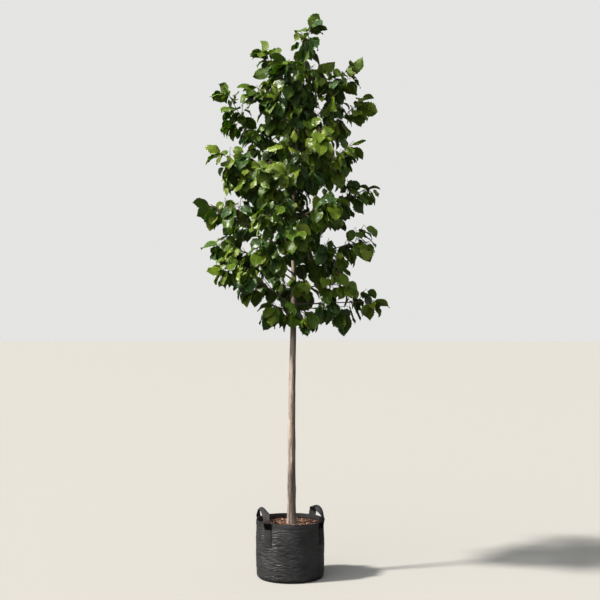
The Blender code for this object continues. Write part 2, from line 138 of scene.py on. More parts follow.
# Stitches, and the crossed boxes of them on the straps
STITCH = 0.0038
STITCH_STEP = 0.0056
THREAD = 0.0004
SEAM_INSET = 0.0035
STITCH_LIFT = 0.3
HEM_SEAMS = (0.0050, HEM_HEIGHT - SEAM_INSET)
BOX_SIDE = 0.034
BOX_INSET = 0.004
SEWN_TO = BAG_HEIGHT - 0.003

# Trunk
TRUNK_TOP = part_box("trunk")[1].z
TRUNK_RADIUS = 0.0240
TRUNK_TIP_RADIUS = 0.0050
FLARE = 0.0050
FLARE_HEIGHT = 0.030
SWEEP_FROM = 1.90
SWEEP_HEIGHT = 1.20
SWEEP = 0.085
TRUNK_SINK = 0.012
TRUNK_SIDES = 48
TRUNK_RING = 0.0075
KNOTS = 12
KNOT_SIZE = 0.010
KNOT_DEPTH = 0.0024
KNOT_HEIGHTS = (0.42, 1.42)
ROOT_HEIGHT = 0.035

# The bark's relief, as shares of a limb's radius
RIBS = 0.045
DENTS = 0.050
GRAIN = 0.020
BOUGH_GRAIN = 0.07
NODE_SWELL = 0.16
ROOTS = 0.10

# Boughs and the stems that carry on from them
LEADER_TOP = 3.000
BOUGH_SHARE = 0.36
BOUGH_TIP_RADIUS = 0.0017
COLLAR = 0.5
COLLAR_LENGTH = 0.014
BARE_REACH = 0.105
SHORT_BOUGH = 0.37
BOUGH_SIDES = 12
BOUGH_RING = 0.009
SWAY = 0.0022
BUD_RADIUS = 0.0024
NODE_SHIFT = 0.012
NODE_REACH = 0.0045
NODES_FROM = 0.05
LINE_STEPS = 20
LINE_SPOTS = 12

# Foliage, by the source's rule
NODE_SPACING = 0.036
TWIG_EVERY = 2
TWIG_LENGTH = 0.115
TWIG_ANGLE = radians(52)
TWIG_RADIUS = 0.0026
TWIG_LEAVES = 3
SPRAY_LENGTH = 0.124
SPRAY_WIDTH = 0.092
SPRAY_FOLD = 0.0065
SPRAY_ROOM = 0.0008
SPRAY_SIZES = (0.90, 1.08)
LEAF_SINK = 0.0026
OLD_LEAF_FALL = radians(74)
YOUNG_LEAF_FALL = radians(62)
YOUNG_LEAF_LIFT = radians(65)
TIP_LEADS = (0.65, 0.0, 0.0)
LEAF_TRIES = 6
MASS_RADIUS = 0.225
SPACE_SLACK = 0.035
MOST_NEIGHBOURS = 4096

# Foliage, real leaves and fine twigs
BLADE_LENGTH = 0.102
BLADE_SHARE = 0.76
BLADE_THICK = 0.0005
PETIOLE = 0.024
PETIOLE_RADIUS = 0.0011
LEAF_ROWS = 15
LEAF_ACROSS = (0.50, 0.88, 1.0)
SMALL_LEAF = 0.80
SMALL_LEAF_ROWS = 12
SMALL_LEAF_ACROSS = (0.88, 1.0)
LEAF_KINDS = 14
TEETH = 0.100
PLEAT = 0.011
RIB_HALF_WIDTH = 0.0075
RIB_DEPTH = 0.006
TWIGLET_LENGTH = 0.055
TWIGLET_RADIUS = 0.0015
TWIG_STEPS = 8
TWIG_CROOK = 0.03
TWIG_SWELL = 1.25
TWIG_RADII = (0.0021, 0.0010)
TWIGLET_RADII = (0.0013, 0.0007)
PETIOLE_STEPS = 5
YOUNG_LEAF = 0.55
LEAF_TOUCH = 0.78
SPURS_FROM = 1.74
SPURS_TO = 2.86
SPUR_SPACING = 0.008
LEAF_GLOW = 0.8
LEAF_PUCKER = 0.0009
LEAF_GLOW_DEPTHS = (1.2, 2.0, 0.25)

# Each bough: name, height of its foot on the trunk, then its tip across, back and up, and the share of its
# climb that it has made half-way out. Under a half it sweeps up, over a half it arches over.
BOUGHS = (
    ("front_foot", 1.385, 0.072, -0.100, 1.460, 0.70),
    ("left_skirt", 1.420, -0.085, -0.085, 1.480, 0.85),
    ("left_low_front", 1.465, -0.345, -0.140, 1.680, 0.82),
    ("right_low", 1.490, 0.450, 0.020, 1.508, 0.35),
    ("back_low", 1.535, 0.020, 0.300, 1.605, 0.60),
    ("right_low_front", 1.575, 0.290, -0.170, 1.600, 0.65),
    ("left_low", 1.620, -0.390, 0.060, 1.825, 0.75),
    ("front_low_left", 1.655, -0.170, -0.260, 1.775, 0.60),
    ("right_mid_low", 1.695, 0.422, -0.050, 1.830, 0.88),
    ("back_low_right", 1.730, 0.255, 0.280, 1.750, 0.70),
    ("left_mid", 1.765, -0.430, 0.000, 2.035, 0.50),
    ("front_mid", 1.800, 0.030, -0.350, 1.850, 0.80),
    ("front_left", 1.840, -0.140, -0.340, 1.960, 0.75),
    ("back_mid", 1.875, 0.110, 0.440, 1.905, 0.70),
    ("right_mid", 1.915, 0.405, 0.060, 2.125, 0.50),
    ("back_left", 2.055, -0.170, 0.410, 2.090, 0.70),
    ("front_left_high", 1.985, -0.130, -0.310, 2.190, 0.65),
    ("left_high_front", 2.020, -0.365, -0.090, 2.305, 0.45),
    ("front_right", 1.950, 0.220, -0.275, 2.025, 0.60),
    ("right_high_front", 2.090, 0.305, -0.120, 2.335, 0.50),
    ("front_high", 2.125, -0.010, -0.250, 2.350, 0.50),
    ("front_inner", 2.180, 0.050, -0.190, 2.240, 0.60),
    ("left_high", 2.145, -0.345, 0.060, 2.665, 0.30),
    ("left_high_back", 2.210, -0.345, 0.150, 2.200, 0.75),
    ("front_right_high", 2.235, 0.160, -0.260, 2.350, 0.60),
    ("back_right_high", 2.270, 0.200, 0.350, 2.305, 0.70),
    ("back_left_high", 2.305, -0.120, 0.320, 2.390, 0.65),
    ("right_high", 2.340, 0.375, 0.080, 2.610, 0.38),
    ("right_top", 2.395, 0.305, -0.020, 2.770, 0.38),
    ("left_inner_top", 2.430, -0.180, -0.120, 2.630, 0.55),
    ("left_top", 2.470, -0.135, 0.050, 2.885, 0.35),
    ("back_top", 2.510, 0.085, 0.200, 2.655, 0.50),
    ("front_top", 2.600, -0.020, -0.090, 2.770, 0.50),
    ("right_inner_top", 2.680, 0.145, 0.045, 2.790, 0.45),
)

# Half a leaf's outline: (share of the way up the blade, share of its half width)
LEAF_OUTLINE = (
    (0.00, 0.03), (0.03, 0.25), (0.08, 0.50), (0.16, 0.76), (0.28, 0.94), (0.42, 1.00),
    (0.56, 0.95), (0.69, 0.79), (0.80, 0.54), (0.88, 0.30), (0.94, 0.12), (1.00, 0.012),
)

# Leaf colours, from the oldest shade leaves to the young ones at the tips: name, upper side, share of leaves
LEAF_TINTS = (
    ("deep", (0.022, 0.058, 0.012), 0.24),
    ("dark", (0.039, 0.081, 0.007), 0.28),
    ("mid", (0.062, 0.109, 0.006), 0.28),
    ("fresh", (0.086, 0.132, 0.007), 0.16),
    ("young", (0.116, 0.157, 0.014), 0.04),
)

# What a leaf's tint goes by: its spray's chance, its place along the shoot, and its own chance
SPRAY_WEIGHT = 0.50
PLACE_WEIGHT = 0.28
OWN_WEIGHT = 0.22

# Camera, at the photograph's viewing angle
FRAME_SIDE = 600
HORIZON_ROW = 317
FOCAL = 1091
SENSOR = 36.0
CAMERA_PLACE = Vector((0.054, -6.0, 1.42))

# Lamps: name, where each shines from, strength, width in the sky, colour, and whether it shines back as gloss
LAMPS = (
    ("key", Vector((-0.66, -0.22, 0.72)), 7.2, radians(6), (1.0, 0.95, 0.86), True),
    ("fill", Vector((-0.42, -0.62, 0.66)), 1.7, radians(70), (1.0, 0.99, 0.95), False),
)
DOME_COLOUR = (0.93, 0.97, 0.97)
DOME_STRENGTH = 0.34
BACKDROP = (0.78, 0.78, 0.77)
PAPER = (0.35, 0.345, 0.336)
BOUNCE = (0.07, 0.068, 0.062)
FLOOR_RADIUS = 60


# ---------------------------------------------------------------- meshes


class Heap:
    """Points and faces of many small shapes, to be joined into one piece."""

    def __init__(self):
        self.points = []
        self.faces = {3: [], 4: []}
        self.first = self.count = 0

    def add(self, points, faces, slot=0, places=None):
        """Adds a shape, or where points is None more faces of the last shape.

        faces are rows of 3 or 4 corners. places gives each face's corners a spot on the pattern.
        """
        if points is not None:
            self.points.append(np.asarray(points, float).reshape(-1, 3))
            self.first = self.count
            self.count += len(self.points[-1])
        faces = np.asarray(faces, np.int64)
        sides = faces.shape[1]
        slots = np.broadcast_to(np.asarray(slot), len(faces))
        places = np.zeros((len(faces), sides, 2)) if places is None else places
        self.faces[sides].append((faces + self.first, slots, places.reshape(-1, 2)))

    def piece(self, name, finishes, nodes=(), sharp=50):
        """All the shapes as one mesh object that rides on the tree and stands for the solids named."""
        mesh = bpy.data.meshes.new(name)
        points = np.concatenate(self.points)
        faces, slots, places = zip(*self.faces[3], *self.faces[4])
        corners = np.concatenate([rows.ravel() for rows in faces]).astype(np.int32)
        sizes = np.concatenate([np.full(len(rows), rows.shape[1]) for rows in faces])
        mesh.vertices.add(len(points))
        mesh.vertices.foreach_set("co", points.astype(np.float32).ravel())
        mesh.loops.add(len(corners))
        mesh.loops.foreach_set("vertex_index", corners)
        mesh.polygons.add(len(sizes))
        mesh.polygons.foreach_set("loop_start", (np.cumsum(sizes) - sizes).astype(np.int32))
        mesh.polygons.foreach_set("material_index", np.concatenate(slots).astype(np.int32))
        layer = mesh.uv_layers.new(name="pattern")
        layer.data.foreach_set("uv", np.concatenate(places).astype(np.float32).ravel())
        mesh.update(calc_edges=True)
        for finish in finishes:
            mesh.materials.append(finish)
        mesh.shade_smooth()
        mesh.set_sharp_from_angle(angle=radians(sharp))
        made = bpy.data.objects.new(name, mesh)
        bpy.context.scene.collection.objects.link(made)
        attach(made, "root")
        if nodes:
            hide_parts(*nodes)


def grid_faces(rows, columns, round_off=False):
    """Faces between rows of points, and each corner's (column, row). round_off joins each row end to end."""
    across = columns if round_off else columns - 1
    i, j = np.indices((rows - 1, across)).reshape(2, -1)
    k = (j + 1) % columns
    faces = np.stack([i * columns + j, i * columns + k, (i + 1) * columns + k, (i + 1) * columns + j], 1)
    places = np.stack([j, i, j + 1, i, j + 1, i + 1, j, i + 1], 1).reshape(-1, 4, 2).astype(float)
    return faces, places


def side_and_other(along):
    """Two directions square to each along, for rings round it."""
    side = np.cross(along, (0.31, 0.95, 0.05))
    side /= np.linalg.norm(side, axis=-1, keepdims=True)
    return side, np.cross(along, side)


def add_tube(heap, centres, radii, sides, relief=1):
    """A closed tube through centres that ends in a point. relief gives each ring's share of the radius."""
    centres = np.array(centres, float)
    along = np.gradient(centres, axis=0)
    along /= np.linalg.norm(along, axis=1, keepdims=True)
    side, other = side_and_other(along)
    turns = np.arange(sides) * tau / sides
    radii = np.broadcast_to(np.array(radii, float)[:, None] * relief, (len(centres), sides))[..., None]
    spokes = np.cos(turns)[None, :, None] * side[:, None] + np.sin(turns)[None, :, None] * other[:, None]
    rings = centres[:, None] + radii * spokes
    tip = centres[-1] + along[-1] * radii[-1].mean()
    points = np.concatenate([rings.reshape(-1, 3), centres[:1], tip[None]])
    heap.add(points, grid_faces(len(centres), sides, round_off=True)[0])
    last = sides * (len(centres) - 1)
    foot_point = last + sides
    s = np.arange(sides)
    following = (s + 1) % sides
    foot = np.stack([following, s, 0 * s + foot_point], 1)
    top = np.stack([last + s, last + following, 0 * s + foot_point + 1], 1)
    heap.add(None, np.concatenate([foot, top]))


def on_ring(radius, turn, height=0.0):
    """The spot at a distance from the bag's axis, a turn round it and a height."""
    return Vector((radius * cos(turn), radius * sin(turn), height))


def on_rings(radius, turn, height):
    """The same for arrays."""
    return np.stack([radius * np.cos(turn), radius * np.sin(turn), height], -1)


def off_turn(turn, angle):
    """How far turn is past angle the short way round, from -pi to pi."""
    return (turn - angle + pi) % tau - pi


def fuzz(points, scale, seed=0.0):
    """Smooth noise from -1 to 1 at each point of an array."""
    flat = [noise.noise(Vector(p) * scale + Vector((seed, 0, 0))) for p in points.reshape(-1, 3)]
    return np.reshape(flat, points.shape[:-1])


def nodes_called(kind):
    return [name for name in NODES if name.startswith(kind)]


# ---------------------------------------------------------------- finishes


class Nodes:
    """The nodes of a material or of the world."""

    def __init__(self, owner):
        owner.use_nodes = True
        self.tree = owner.node_tree

    def feed(self, node, inputs):
        """Gives each input named a value, or links it to another node's output."""
        for name, value in inputs.items():
            if hasattr(value, "is_linked"):
                self.tree.links.new(value, node.inputs[name])
            else:
                node.inputs[name].default_value = value

    def node(self, kind, inputs=None, **settings):
        made = self.tree.nodes.new("ShaderNode" + kind)
        for name, value in settings.items():
            setattr(made, name, value)
        self.feed(made, inputs or {})
        return made


class Finish(Nodes):
    """A Principled material, and the steps that give it colour and relief of its own."""

    def __init__(self, name, colour, roughness, specular):
        self.material = bpy.data.materials.new(name)
        super().__init__(self.material)
        self.shader = self.tree.nodes["Principled BSDF"]
        self.shade("Base Color", (*colour, 1))
        self.shade("Roughness", roughness)
        self.shade("Specular IOR Level", specular)

    def shade(self, name, value):
        self.feed(self.shader, {name: value})

    def place(self, stretch=(1, 1, 1), pattern=False):
        """Coordinates in metres, from the object or from the mesh's pattern map."""
        if pattern:
            source = self.node("UVMap", uv_map="pattern").outputs["UV"]
        else:
            source = self.node("TexCoord").outputs["Object"]
        return self.node("Mapping", {"Vector": source, "Scale": stretch}).outputs["Vector"]

    def split(self, vector):
        return self.node("SeparateXYZ", {"Vector": vector}).outputs

    def noise(self, scale, detail, roughness=0.55, stretch=(1, 1, 1), distortion=0.0, pattern=False):
        wanted = {"Vector": self.place(stretch, pattern), "Scale": scale, "Detail": detail}
        wanted.update({"Roughness": roughness, "Distortion": distortion})
        return self.node("TexNoise", wanted).outputs["Fac"]

    def ramp(self, share, stops):
        """stops are (place, colour) pairs."""
        made = self.node("ValToRGB", {"Fac": share})
        elements = made.color_ramp.elements
        while len(elements) < len(stops):
            elements.new(0.5)
        for element, (place, colour) in zip(elements, stops):
            element.position = place
            element.color = (*(colour if isinstance(colour, tuple) else (colour,) * 3), 1)
        return made.outputs["Color"]

    def math(self, operation, first, second=0.0):
        return self.node("Math", {0: first, 1: second}, operation=operation).outputs["Value"]

    def wave(self, along, length):
        return self.math("SINE", self.math("MULTIPLY", along, tau / length))

    def mix(self, share, first, second, blend="MIX"):
        wanted = {0: share, 6: first, 7: second}
        return self.node("Mix", wanted, data_type="RGBA", blend_type=blend).outputs[2]

    def relief(self, height, depth):
        """Adds bumps of that depth in metres, on top of any before them."""
        wanted = {"Height": height, "Distance": depth, "Strength": 1.0}
        before = self.shader.inputs["Normal"].links
        if before:
            wanted["Normal"] = before[0].from_socket
        self.shade("Normal", self.node("Bump", wanted).outputs["Normal"])


def bag_finish():
    """Black woven plastic tape: fine square weave, dusty in places, shiny along the creases."""
    made = Finish("bag_fabric", (0.03, 0.03, 0.033), 0.46, 0.60)
    across = made.split(made.place(pattern=True))
    weave = made.math("MULTIPLY", made.wave(across["X"], 0.0024), made.wave(across["Y"], 0.0024))
    dust = made.noise(14, 5, 0.6)
    patches = made.noise(45, 3, 0.6, (1, 1, 2.5))
    tone = made.ramp(dust, ((0.36, (0.017, 0.017, 0.019)), (0.66, (0.034, 0.034, 0.037))))
    flecks = made.ramp(patches, ((0.45, 0.85), (0.75, 1.30)))
    made.shade("Base Color", made.mix(1.0, tone, flecks, "MULTIPLY"))
    made.shade("Roughness", made.ramp(dust, ((0.3, 0.38), (0.7, 0.52))))
    made.relief(weave, 0.00012)
    made.relief(patches, 0.0006)
    return made.material


def webbing_finish(name, dark, light, specular):
    """Black webbing with ribs along it and a herringbone across."""
    made = Finish(name, dark, 0.62, specular)
    across = made.split(made.place(pattern=True))
    slant = made.math("ADD", across["Y"], made.math("PINGPONG", across["X"], 0.004))
    made.shade("Base Color", made.ramp(made.noise(30, 4, 0.6), ((0.35, dark), (0.70, light))))
    made.relief(made.math("ADD", made.wave(slant, 0.0016), made.wave(across["X"], 0.0020)), 0.00016)
    return made.material


def grainy(made, grain, depth, stops=()):
    """Gives a finish relief, and where there are stops its colour too, from one grain."""
    if stops:
        made.shade("Base Color", made.ramp(grain, stops))
    made.relief(grain, depth)
    return made.material


def thread_finish():
    made = Finish("black_thread", (0.020, 0.020, 0.022), 0.55, 0.4)
    return grainy(made, made.noise(900, 2), 0.0001)


def earth_finish():
    """Fine red-brown crumbs between the chips."""
    made = Finish("mulch_fines", (0.12, 0.06, 0.035), 0.95, 0.2)
    stops = ((0.30, (0.014, 0.007, 0.005)), (0.55, (0.070, 0.030, 0.018)), (0.78, (0.150, 0.078, 0.050)))
    return grainy(made, made.noise(160, 6, 0.7), 0.003, stops)


def chip_finish(name, dark, light):
    """Bark and wood chips with grain along them."""
    made = Finish(name, light, 0.85, 0.25)
    grain = made.noise(700, 4, 0.6, (1, 0.12, 1), pattern=True)
    return grainy(made, grain, 0.0006, ((0.30, dark), (0.70, light)))


def bark_finish():
    """Smooth grey-brown bark: pale tan where weathered, dark streaks, small cork spots, and painted shade on
    the +X side.
    """
    made = Finish("grey_brown_bark", (0.16, 0.12, 0.09), 0.78, 0.3)
    streak = made.noise(95, 6, 0.62, (1, 1, 0.07), 0.3)
    patch = made.noise(13, 4, 0.6, (1, 1, 0.22))
    fine = made.noise(420, 4, 0.6, (1, 1, 0.30))
    spots = made.noise(150, 2, 0.5, (1, 1, 2.2))
    fissures = made.noise(210, 3, 0.5, (1, 1, 0.045), 0.2)
    tan = ((0.38, (0.15, 0.110, 0.090)), (0.50, (0.38, 0.295, 0.245)), (0.62, (0.60, 0.495, 0.420)))
    grey = ((0.38, (0.06, 0.048, 0.042)), (0.52, (0.18, 0.145, 0.126)), (0.66, (0.36, 0.300, 0.265)))
    where = made.ramp(patch, ((0.40, 0.0), (0.56, 1.0)))
    skin = made.mix(where, made.ramp(streak, grey), made.ramp(streak, tan))
    skin = made.mix(made.ramp(fissures, ((0.56, 0.0), (0.63, 0.85))), skin, (0.075, 0.058, 0.050, 1))
    # Painted shade: the bark is darkened on its side that faces +X, away from the key lamp, broken up by the
    # streaks
    facing = made.split(made.node("TexCoord").outputs["Normal"])["X"]
    painted_shade_side = made.math("ADD", facing, made.math("MULTIPLY", streak, 0.5))
    skin = made.mix(made.ramp(painted_shade_side, ((0.25, 0.0), (0.60, 0.55))), skin, (0.085, 0.070, 0.060, 1))
    cork = made.ramp(spots, ((0.68, 0.0), (0.74, 1.0)))
    made.shade("Base Color", made.mix(cork, skin, (0.085, 0.062, 0.048, 1)))
    made.relief(streak, 0.0030)
    made.relief(fine, 0.0006)
    made.relief(spots, 0.0012)
    return made.material


def twig_finish(name, dark, light):
    """Young wood: purple-brown and smooth, with pale pores."""
    made = Finish(name, light, 0.55, 0.4)
    tone = made.noise(40, 4, 0.6)
    pores = made.noise(520, 2, 0.5)
    skin = made.ramp(tone, ((0.32, dark), (0.68, light)))
    pored = made.ramp(pores, ((0.70, 0.0), (0.76, 0.55)))
    made.shade("Base Color", made.mix(pored, skin, (0.22, 0.17, 0.13, 1)))
    made.relief(pores, 0.0004)
    made.relief(tone, 0.0010)
    return made.material


def leaf_finish(name, colour, roughness, specular):
    """Leaf skin in one plain colour, that sun shines through a little, with the puckers of fine veins."""
    made = Finish(name, colour, roughness, specular)
    made.shader.subsurface_method = "BURLEY"
    made.shade("Subsurface Weight", LEAF_GLOW)
    made.shade("Subsurface Radius", LEAF_GLOW_DEPTHS)
    made.shade("Subsurface Scale", BLADE_THICK)
    return grainy(made, made.noise(210, 3), LEAF_PUCKER)


# ---------------------------------------------------------------- bag, mulch and straps


def bag_radius(height):
    """The bag's outer radius: a little full at half height."""
    bulge = BAG_BULGE * np.sin(pi * np.minimum(np.asarray(height) / BAG_HEIGHT, 1))
    return BAG_RADIUS - BAG_BULGE + bulge


def hem_radius(height):
    """The same with the hem's thickness near the rim."""
    return bag_radius(height) + HEM_PROUD * (np.asarray(height) > BAG_HEIGHT - HEM_HEIGHT)


def creases():
    """Turn round the bag, height, lean, half length, width, slope and bend of each crease in the cloth."""
    chance = random.Random(4)
    draw = chance.uniform
    rows = []
    for number in range(CREASES):
        broad = number < BROAD_CREASES
        sharp = not broad and chance.random() < SHARP_SHARE
        where = draw(-pi, pi)
        level = BAG_HEIGHT * chance.betavariate(1.2, 1.5)
        half = draw(0.025, 0.075) if broad else draw(0.008, 0.032)
        width = draw(0.0034, 0.0070) if broad else draw(0.0018, 0.0034)
        slope = draw(*(SHARP_SLOPES if sharp else SOFT_SLOPES)) * (1 - 0.45 * level / BAG_HEIGHT)
        rows.append((where, level, chance.gauss(0, 0.24), half, width, slope, draw(-6, 6)))
    for angle in STRAP_TURNS:
        for side in (-1, 1):
            for drop, lean in PULL_CREASES:
                half = draw(0.018, 0.034)
                where = angle + side * (STRAP_WIDTH / 2 + 0.8 * half) / BAG_RADIUS
                level = BAG_HEIGHT - HEM_HEIGHT - drop
                rows.append((where, level, side * lean, half, 0.0032, draw(0.3, 0.6), 0))
    return rows


def crease_field(turn, height):
    """How far the cloth stands out at each turn round the bag and height."""
    depth = np.zeros_like(turn)
    for where, level, lean, half, width, slope, bend in creases():
        over = off_turn(turn, where) * BAG_RADIUS
        up = height - level
        along = over * cos(lean) + up * sin(lean)
        across = up * cos(lean) - over * sin(lean) - bend * along**2
        fade = np.exp(-((along / half) ** 4))
        ridge = np.exp(-((across / width) ** 2))
        trough = np.exp(-(((across + 1.9 * width) / (1.2 * width)) ** 2))
        depth += slope * width * fade * (ridge - 0.8 * trough)
    return depth


def crumple(turn):
    """How crumpled the cloth is at each turn round the bag: less where the fill stretches it."""
    return 1 - SMOOTHED * np.exp(-((off_turn(turn, SMOOTH_SIDE) / SMOOTH_REACH) ** 2))


def under_straps(turn, height):
    """1 where a strap lies on the bag, 0 away from it."""
    reach = (STRAP_WIDTH / 2 + STRAP_MARGIN) / BAG_RADIUS
    share = np.zeros_like(turn)
    for angle in STRAP_TURNS:
        off = np.abs(off_turn(turn, angle))
        near = 1 / (1 + np.exp((off - reach) * BAG_RADIUS / STRAP_SOFT_EDGE))
        below = (STRAP_END - STRAP_END_MARGIN - height) / STRAP_SOFT_END
        share = np.maximum(share, near / (1 + np.exp(below)))
    return share


def bag_profile():
    """Rows of the bag from its underside's middle, over the rim and down inside: radius, height, slack."""
    flat = BAG_RADIUS - BAG_BULGE - BAG_CORNER
    rows = [(share * flat, 0.0, 0.0) for share in (0.02, 0.3, 0.6, 0.85, 1.0)]
    base = float(bag_radius(BAG_CORNER)) - BAG_CORNER
    for a in np.linspace(0, pi / 2, 10)[1:]:
        rows.append((base + BAG_CORNER * sin(a), BAG_CORNER * (1 - cos(a)), sin(a) ** 2))
    hem_foot = BAG_HEIGHT - HEM_HEIGHT
    top = BAG_HEIGHT - RIM_ROUND
    rows += [(float(bag_radius(z)), z, 1.0) for z in np.linspace(BAG_CORNER, hem_foot, BAG_ROWS)[1:]]
    rows += [(float(hem_radius(z)), z, HEM_SLACK) for z in np.linspace(hem_foot + 0.0008, top, 14)]
    outside = rows[-1][0]
    thick = BAG_WALL + 2 * HEM_PROUD
    for a in np.linspace(0.3, pi, 7):
        rows.append((outside - thick / 2 + thick / 2 * cos(a), top + RIM_ROUND * sin(a), RIM_SLACK))
    inside = outside - thick
    rows += [(inside, z, RIM_SLACK) for z in np.linspace(BAG_HEIGHT - 0.002, hem_foot, 8)]
    under_hem = np.linspace(hem_foot - 0.001, SOIL_LEVEL - 0.05, 10)
    return np.array(rows + [(inside + HEM_PROUD, z, INSIDE_SLACK) for z in under_hem])


def planter_bag(fabric, thread):
    profile = bag_profile()
    turn = np.linspace(-pi, pi, BAG_COLUMNS, endpoint=False)[None, :] + np.zeros((len(profile), 1))
    height = profile[:, 1, None] + 0 * turn
    held = under_straps(turn, height)
    around = on_rings(BAG_RADIUS, turn, height)
    lumps = fuzz(around * (1, 1, 1.4), 9, 3.1)
    folds = np.abs(fuzz(around * (1, 1, 2.6), 26, 9.7))
    creased = crumple(turn) * (crease_field(turn, height) - FOLDS * folds)
    slack = profile[:, 2, None] * (1 - STRAP_HOLD * held)
    radius = profile[:, 0, None] + slack * (LUMPS * lumps + CLOTH_PROUD + creased)
    near_rim = np.clip((height - (BAG_HEIGHT - RIM_WAVE_REACH)) / RIM_WAVE_REACH, 0, 1) ** 2
    wave = np.sin(3 * turn + 0.8) + 0.7 * np.sin(5 * turn + 2.1) + 0.4 * np.sin(11 * turn)
    height = height + RIM_WAVE / 2 * near_rim * (wave - 0.9) * (1 - held)
    points = on_rings(radius, turn, np.maximum(height, 0))
    heap = Heap()
    faces, places = grid_faces(len(profile), BAG_COLUMNS, round_off=True)
    run = np.concatenate([[0], np.cumsum(np.linalg.norm(np.diff(profile[:, :2], axis=0), axis=1))])
    places[..., 0] *= tau * BAG_RADIUS / BAG_COLUMNS
    places[..., 1] = run[places[..., 1].astype(int)]
    heap.add(points, faces, 0, places)
    heap.piece("bag_shell", [fabric], ["planter_bag"], sharp=60)

    stitches = Heap()
    outside = profile[:profile[:, 1].argmax(), 1]
    count = round(tau * BAG_RADIUS / STITCH_STEP)
    for drop in HEM_SEAMS:
        row = int(np.argmin(np.abs(outside - (BAG_HEIGHT - drop))))
        for i in range(count):
            angle = tau * i / count
            column = int(round((angle + pi) / tau * BAG_COLUMNS)) % BAG_COLUMNS
            out = on_ring(1, angle)
            reach = radius[row, column]
            spot = Vector((out.x * reach, out.y * reach, points[row, column, 2]))
            add_stitch(stitches, spot + out * THREAD * STITCH_LIFT, UP.cross(out), out)
    stitches.piece("hem_stitches", [thread])


def add_stitch(heap, spot, along, out):
    """One thread stitch: a slim lozenge whose ends dive into the cloth."""
    across = along.cross(out)
    points = []
    for share, lift, thick in ((-1, -0.8, 0.5), (-0.6, 0.6, 1), (0.6, 0.6, 1), (1, -0.8, 0.5)):
        for over in (-1, 1):
            for up in (-1, 1):
                width = across * (THREAD * thick) * over
                points.append(spot + along * (STITCH / 2) * share + width + out * THREAD * (lift + up))
    sides = ((0, 1, 5, 4), (1, 3, 7, 5), (3, 2, 6, 7), (2, 0, 4, 6))
    faces = [[a + k for k in side] for a in (0, 4, 8) for side in sides]
    heap.add(points, faces + [(0, 2, 3, 1), (12, 13, 15, 14)])


def strap_stance(height):
    """How far from the bag's axis a strap's middle runs where it lies on the bag, over the hem too."""
    under = float(hem_radius(BAG_HEIGHT) if height > STRAP_MEETS_HEM else bag_radius(height))
    return under + GAP + STRAP_SAG + STRAP_THICK / 2


def strap_centre(side_angle, t):
    """(angle round the bag, height) of a strap's middle, with t from 0 at one sewn end to 1 at the other."""
    leg = (STRAP_LEAVES_BAG - STRAP_END) / STRAP_LEG
    if t < STRAP_LEG:
        return side_angle - HANDLE_SPREAD, STRAP_END + leg * t
    if t > 1 - STRAP_LEG:
        return side_angle + HANDLE_SPREAD, STRAP_END + leg * (1 - t)
    turn = pi * (t - STRAP_LEG) / (1 - 2 * STRAP_LEG)
    rise = sin(turn) ** HANDLE_ROUND
    return side_angle - cos(turn) * HANDLE_SPREAD, STRAP_LEAVES_BAG + rise * (HANDLE_TOP - STRAP_LEAVES_BAG)


def strap_line(side_angle):
    """For each station of a strap: its middle, the way along it, the way across, the way its face looks, and
    how free it is of the bag, from 0 to 1."""
    centres = []
    for i in range(STRAP_STATIONS + 1):
        angle, height = strap_centre(side_angle, i / STRAP_STATIONS)
        free = max(0, height - STRAP_FREE_FROM) / (HANDLE_TOP - STRAP_FREE_FROM)
        loose = max(0, height - STRAP_SEWN_TO) / (HANDLE_TOP - STRAP_SEWN_TO)
        radius = strap_stance(height) + STRAP_BULGE * sin(pi * loose) ** 2 - HANDLE_LEAN * free**1.5
        centres.append(on_ring(radius, angle, height))
    arch_centre = on_ring(ARCH_REACH * float(hem_radius(BAG_HEIGHT)), side_angle, BAG_HEIGHT)
    line = []
    for i, centre in enumerate(centres):
        along = (centres[min(i + 1, STRAP_STATIONS)] - centres[max(i - 1, 0)]).normalized()
        out = Vector((centre.x, centre.y, 0)).normalized()
        free = max(0, centre.z - STRAP_FREE_FROM) / (HANDLE_TOP - STRAP_FREE_FROM)
        face = out.lerp((centre - arch_centre).normalized(), free)
        face = (face - face.dot(along) * along).normalized()
        line.append((centre, along, along.cross(face), face, free))
    return line


def strap(name, side_angle, webbings, stitches):
    """A woven strap with thin turned edges, and a near-black painted shadow on it just under the hem."""
    line = strap_line(side_angle)
    over = np.linspace(-1, 1, STRAP_COLUMNS)
    ring = [(u, 1) for u in over] + [(u, -1) for u in over[::-1]]
    points, run, runs = [], 0.0, []
    for i, (centre, _, across, face, free) in enumerate(line):
        run += (centre - line[max(i - 1, 0)][0]).length
        runs.append(run)
        bow = (1 - free) * (STRAP_WIDTH / 2) ** 2 / (2 * BAG_RADIUS)
        buckle = STRAP_BUCKLE * free * sin(run * 70 + side_angle)
        half = STRAP_WIDTH / 2 * (1 - STRAP_NARROWS * free)
        for u, v in ring:
            thick = STRAP_THICK / 2 * (0.55 if abs(u) == 1 else 1)
            lift = v * thick - u * u * (bow + STRAP_CURL * free) + buckle * u * abs(u)
            points.append(centre + across * (u * half) + face * lift)
    heap = Heap()
    width = len(ring)
    faces, places = grid_faces(len(line), width, round_off=True)
    places[..., 0] *= STRAP_WIDTH / (STRAP_COLUMNS - 1)
    places[..., 1] = np.array(runs)[places[..., 1].astype(int)]
    # Faces just under the hem take slot 1, the near-black painted shadow
    in_painted_shadow = [int(PAINTED_SHADOW_FOOT < centre.z < PAINTED_SHADOW_TOP) for centre, *_ in line[1:]]
    heap.add(points, faces, np.repeat(in_painted_shadow, width), places)
    ends = []
    for start, flip in ((0, 1), ((len(line) - 1) * width, -1)):
        for j in range(STRAP_COLUMNS - 1):
            ends.append([start + k for k in (j, width - 1 - j, width - 2 - j, j + 1)][::flip])
    heap.add(None, ends)
    heap.piece(name, webbings, [name.replace("strap", "handle")], sharp=45)
    sew(line, runs, stitches)


